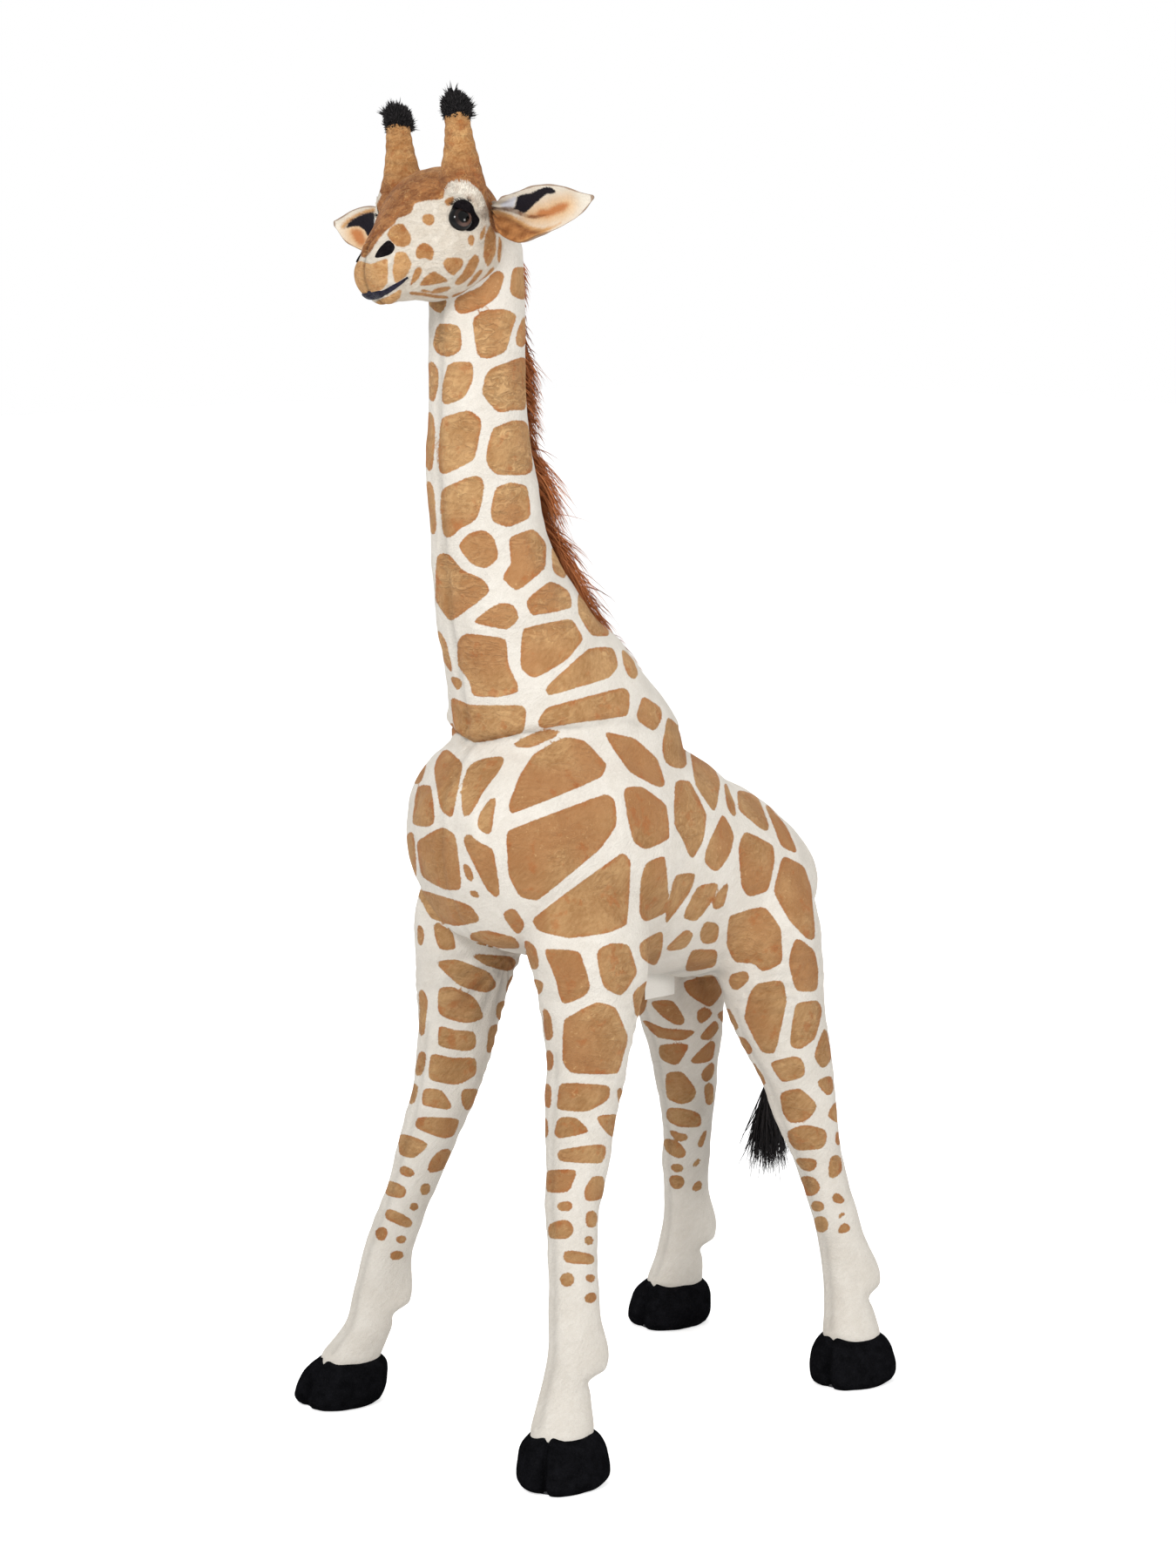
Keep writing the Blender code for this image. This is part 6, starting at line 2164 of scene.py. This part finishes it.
    def brows(self) -> list[bpy.types.Object]:
        """Short pale fur on the brows, brushed away from the eyes and brown next to their front ends.

        Returns:
            The pieces.
        """
        made, draw, corners = [], np.random.default_rng(79), rounded(BROW_PATCH)
        pixels = draw.uniform(corners.min(0), corners.max(0), (self.brow_tries, 2))
        pixels = pixels[inside_distance(pixels, corners) > 0.3]
        points, normals = self.head.spot(pixels)
        eye, _ = self.head.spot(np.array([self.eye_middle]))
        away = points - eye
        away = unit(away - normals * (away * normals).sum(axis=1, keepdims=True))
        count, clump = len(points), waves(points, 84, 0.006)
        parted = 0.16 * clump[:, None] * np.cross(away, normals)
        ways = unit(away + normals * 0.40 + parted + draw.normal(0, 0.12, normals.shape))
        roots, bends = points - normals * 0.0006, draw.normal(0, 0.08, normals.shape) - normals * 0.30
        length = draw.uniform(0.0030, 0.0050, count)
        fringe = np.clip(-inside_distance(pixels, rounded(EYE_DARK)) / 7, 0, 1)
        front = np.clip((534 - pixels[:, 0]) / 10, 0, 1)
        tint = 0.76 + 0.16 * clump + draw.normal(0, 0.12, count) - 0.75 * (1 - fringe) * (0.5 + 0.5 * front)
        for label, side in SIDES:
            keep = pixels[:, 0] > (0 if side > 0 else 530)
            hair = fur(roots[keep], ways[keep], bends[keep], length[keep], np.full(keep.sum(), 0.00045))
            brow = mesh_object("brow_fur_" + label, self.head.sided(hair, side), Finish.BROW_HAIR.get(),
                               {"tint": per_strand(tint[keep].clip(0, 1))})
            made.append(brow)
        return made

    def build(self) -> list[bpy.types.Object]:
        """Makes the pieces of the face, which all ride on the head.

        Returns:
            The pieces.
        """
        made = self.eyes()
        made += self.patches("eye_felt", EYE_DARK, self.eye_middle, 0.0016, 0.0, "eye_surround")
        made += self.patches("nostril_felt", NOSTRIL, self.nostril_middle, 0.0012, -0.0004, "nostril")
        made += [self.lip(), *self.lashes(), *self.brows()]
        for piece in made:
            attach(piece, "head")
        return made


# Feet and tail


@dataclass
class Hooves:
    """Four cloven hooves in black velvet."""

    height: float = 0.0465
    base_z: float = 0.0033
    width: float = 0.087
    length: float = 0.097
    turns: int = 144
    toe_out: dict = field(default_factory=lambda: {"front_left": 22.0, "front_right": 5.0, "rear_left": 5.0,
                                                   "rear_right": 0.0})
    rows: tuple = ((0, 0, 0.92, 0.92), (0.10, 0, 0.975, 0.975), (0.28, 0.14, 1.0, 1.0), (0.52, 0.36, 0.975, 0.975),
                   (0.74, 0.58, 0.915, 0.915), (0.90, 0.80, 0.815, 0.815), (1, 0.92, 0.72, 0.70))
    skirt: tuple = ((0.30, 0.0036), (0.70, 0.0036), (0.80, 0.0010), (0.85, 0.0006))
    top: tuple = ((0.66, 0.64, 0.0012), (0.56, 0.54, 0.0002), (0.35, 0.35, -0.003))

    def form(self, leg: Leg, side: float, toe: float) -> Shell:
        """A hoof: level rings from a raised middle under the foot, down to the skirt, up its wall and in to the ankle.

        The cleft draws the ring in by 0.22 · exp(−(turn / 0.10)²) at the toe, and each lobe beside it stands out.

        Args:
            leg: the leg that it closes.
            side: 1 for the left, −1 for the right.
            toe: how many degrees the toe points outwards.

        Returns:
            The closed shell.
        """
        ankle = leg.place(side, *np.array(leg.rows[-1][:3]))
        foot = np.array([side * leg.foot_x, leg.foot_y, self.base_z])
        up = np.linspace(0, 1, 40)
        lean, wide, long = hermite(self.rows, up).T
        centres = foot + (ankle - foot) * lean[:, None]
        centres[:, 2] = self.base_z + up * self.height
        skirt, top = np.array(self.skirt), np.array(self.top)
        under = np.repeat(foot[None], len(skirt), 0)
        under[:, 2] = skirt[:, 1]
        centres = np.vstack([under, centres, centres[-1] + np.outer(top[:, 2], UPWARDS)])
        wide = np.concatenate([skirt[:, 0], wide, top[:, 0]]) * self.width / 2
        long = np.concatenate([skirt[:, 0], long, top[:, 1]]) * self.length / 2
        grid = ring_grid(centres, np.outer(wide, ACROSS), np.outer(long, ALONG), self.turns, 0.90)
        turn = np.linspace(0, 2 * np.pi, self.turns, endpoint=False)
        heading = -np.pi / 2 + side * math.radians(toe)
        away = (turn - heading + np.pi) % (2 * np.pi) - np.pi
        level = np.clip((centres[:, 2] - 0.001) / self.height, 0, 1)[:, None]
        notch = bell(away, 0, 0.10)[None] * np.clip(1.5 - level * 1.1, 0, 1)
        lobes = bell(np.abs(away), 0.40, 0.30)[None] * np.clip(1.1 - level, 0, 1)
        peak = bell(away, 0, 0.40)[None] * np.clip(level * 3 - 2, 0, 1)
        middle = centres[:, None, :2]
        grid[..., :2] = middle + (grid[..., :2] - middle) * (1 - 0.22 * notch + 0.06 * lobes)[..., None]
        grid[..., 2] += 0.004 * peak * (1 - 1.6 * notch)
        shell = closed_grid(grid)
        shell = shell.pushed(waves(shell.points, 81, 0.02) * 0.0005)
        shell.points[:, 2] = np.maximum(shell.points[:, 2], 0.0004)
        return shell

    def build(self) -> list[bpy.types.Object]:
        """Makes the hooves, which ride on the trunk.

        Returns:
            The pieces.
        """
        made = []
        for leg, label, side in LEGS:
            foot = f"{leg.pair}_{label}"
            hoof = mesh_object("hoof_cover_" + foot, self.form(leg, side, self.toe_out[foot]), Finish.VELVET.get())
            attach(hoof, "trunk")
            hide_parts("hoof_" + foot)
            made.append(hoof)
        return made


@dataclass
class Tail:
    """The tail's plush cord with its tuft of long black fur."""

    length: float = 0.326
    swing: float = 0.034
    radius: float = 0.007
    root: float = 0.010
    strands: int = 900
    rows: tuple = ((0, 0, 1), (0.035, 0.480, 1), (0.110, 0.830, 1), (0.240, 1.0, 1), (0.450, 0.960, 1),
                   (0.720, 0.780, 0.95), (1, 0.520, 0.90))

    def build(self) -> list[bpy.types.Object]:
        """Makes the tail, which rides on its own body.

        Returns:
            The pieces.
        """
        down = np.linspace(0, 1, 120)
        out, share = hermite(self.rows, down).T
        centres = np.array(TAIL_HINGE) + np.stack([0 * down, out * self.swing, -down * self.length], -1)
        ahead = unit(np.gradient(centres, axis=0))
        end = centres[-1]
        centres = np.vstack([centres[:1] - ahead[:1] * self.root, centres])
        radius = np.append(share[:1], share)[:, None] * self.radius
        centres, radius = domed(centres, radius, (0.007, 0.005))
        before = len(centres) - len(ahead) - 6
        ahead = np.vstack([np.repeat(ahead[:1], before, 0), ahead, np.repeat(ahead[-1:], 6, 0)])
        shell = closed_grid(ring_grid(centres, radius * ACROSS, np.cross(ahead, ACROSS) * radius, 32))
        cord = mesh_object("tail_cover", shell, Finish.COAT.get(),
                           {"patch": np.full(len(shell.points), -0.02), "crease": np.zeros(len(shell.points))})
        draw = np.random.default_rng(91)
        start = draw.uniform(0.0, 1.0, self.strands)
        turn = draw.uniform(0, 2 * np.pi, self.strands)
        around = np.stack([np.cos(turn), np.sin(turn), 0 * turn], -1)
        ways = around * 0.15 - UPWARDS
        ways = unit(ways + draw.normal(0, 0.13, ways.shape))
        bends = draw.normal(0, 0.07, ways.shape) - around * 0.12
        length = draw.uniform(0.055, 0.098, self.strands)
        roots = end + (around * 0.005 + np.outer(0.012 - start * 0.024, UPWARDS))
        shell = fur(roots, ways, bends, length, draw.uniform(0.0006, 0.0011, self.strands))
        tuft = mesh_object("tail_fur", shell, Finish.BLACK_HAIR.get(), {"tint": tints(self.strands, 92)})
        for piece, node, finish in ((cord, "tail_cord", "plush"), (tuft, "tail_tuft", "black_fur")):
            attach(piece, "tail")
            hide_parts(node)
        return [cord, tuft]


# Studio


@dataclass
class Studio:
    """A pale floor that keeps the shadow, a white surround for the camera, and soft lamps."""

    floor_size: float = 30.0
    floor_drop: float = 0.0002
    floor_glow: float = 0.60
    daylight: float = 0.62
    lamps: tuple = (("key", (1.6, -3.6, 3.2), (0, 0, 0.75), 105.0, 0.9),
                    ("fill", (3.6, 0.6, 1.8), (0, 0, 0.7), 38.0, 0.8),
                    ("rear", (-2.6, 2.2, 2.8), (0, 0, 0.8), 40.0, 2.0))

    def floor(self) -> None:
        """Makes the floor, whose material glows a little for the camera alone, so that it renders white."""
        corners = np.array([[-1, -1, 0], [1, -1, 0], [1, 1, 0], [-1, 1, 0]]) * self.floor_size / 2
        bench = Bench(bpy.data.materials.new("toy_studio_floor"))
        bench.finish((0.82, 0.82, 0.82, 1), 0.9, Emission_Color=bench.grey(bench.background() * self.floor_glow),
                     Emission_Strength=1.0)
        shell = Shell(corners - UPWARDS * self.floor_drop, np.array([[0, 1, 2, 3]]))
        mesh_object("studio_floor", shell, bench.owner)

    def surround(self) -> None:
        """Makes the world: white for the camera and in reflections, and a soft light for the rest."""
        world = bpy.data.worlds.new("studio")
        bpy.context.scene.world = world
        bench = Bench(world, "Background")
        level = bench.node("ShaderNodeMapRange", {}, {"Value": bench.background(), "To Min": self.daylight})
        bench.put(bench.shader, "Color", (1, 1, 1, 1))
        bench.put(bench.shader, "Strength", level)

    def build(self) -> None:
        """Makes the studio: the floor, the surround, and area lamps that each point at a place on the toy."""
        self.floor()
        self.surround()
        for name, place, aim, power, size in self.lamps:
            data = bpy.data.lights.new(name, "AREA")
            data.energy, data.size = power, size
            lamp = bpy.data.objects.new(name, data)
            lamp.location = place
            lamp.rotation_euler = (Vector(aim) - Vector(place)).to_track_quat("-Z", "Y").to_euler()
            bpy.context.scene.collection.objects.link(lamp)
        bpy.context.scene.view_settings.view_transform = "Standard"


def dress_frame(nodes: dict) -> None:
    """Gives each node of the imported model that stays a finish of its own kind.

    Args:
        nodes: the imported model's nodes by name.
    """
    kinds = {"wire": Finish.STEEL, "clamp": Finish.PLASTIC, "wire_cap": Finish.PLASTIC, "washer": Finish.PLASTIC,
             "sole_plate": Finish.BOARD, "surround": Finish.FELT, "nostril": Finish.FELT, "lip": Finish.LIP,
             "label": Finish.TAPE}
    for name, node in nodes.items():
        for finish in (finish for key, finish in kinds.items() if key in name):
            for slot in node.material_slots:
                slot.material = finish.get()


def main() -> None:
    """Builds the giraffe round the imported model, and the studio."""
    logging.basicConfig(level=logging.INFO, format="%(message)s")
    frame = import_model()
    VIEW.build()
    dress_frame(frame["nodes"])
    neck, head = Neck(), Head()
    trunk = Trunk(neck)
    for builder in (trunk, head, Mane(neck, trunk), Tufts(head), Ears(), Face(head), Hooves(), Tail()):
        made = builder.build()
        for piece in made if isinstance(made, list) else [made]:
            LOG.info("made %s with %d faces", piece.name, len(piece.data.polygons))
    Studio().build()
    bpy.context.view_layer.update()


if __name__ == "__main__":
    main()
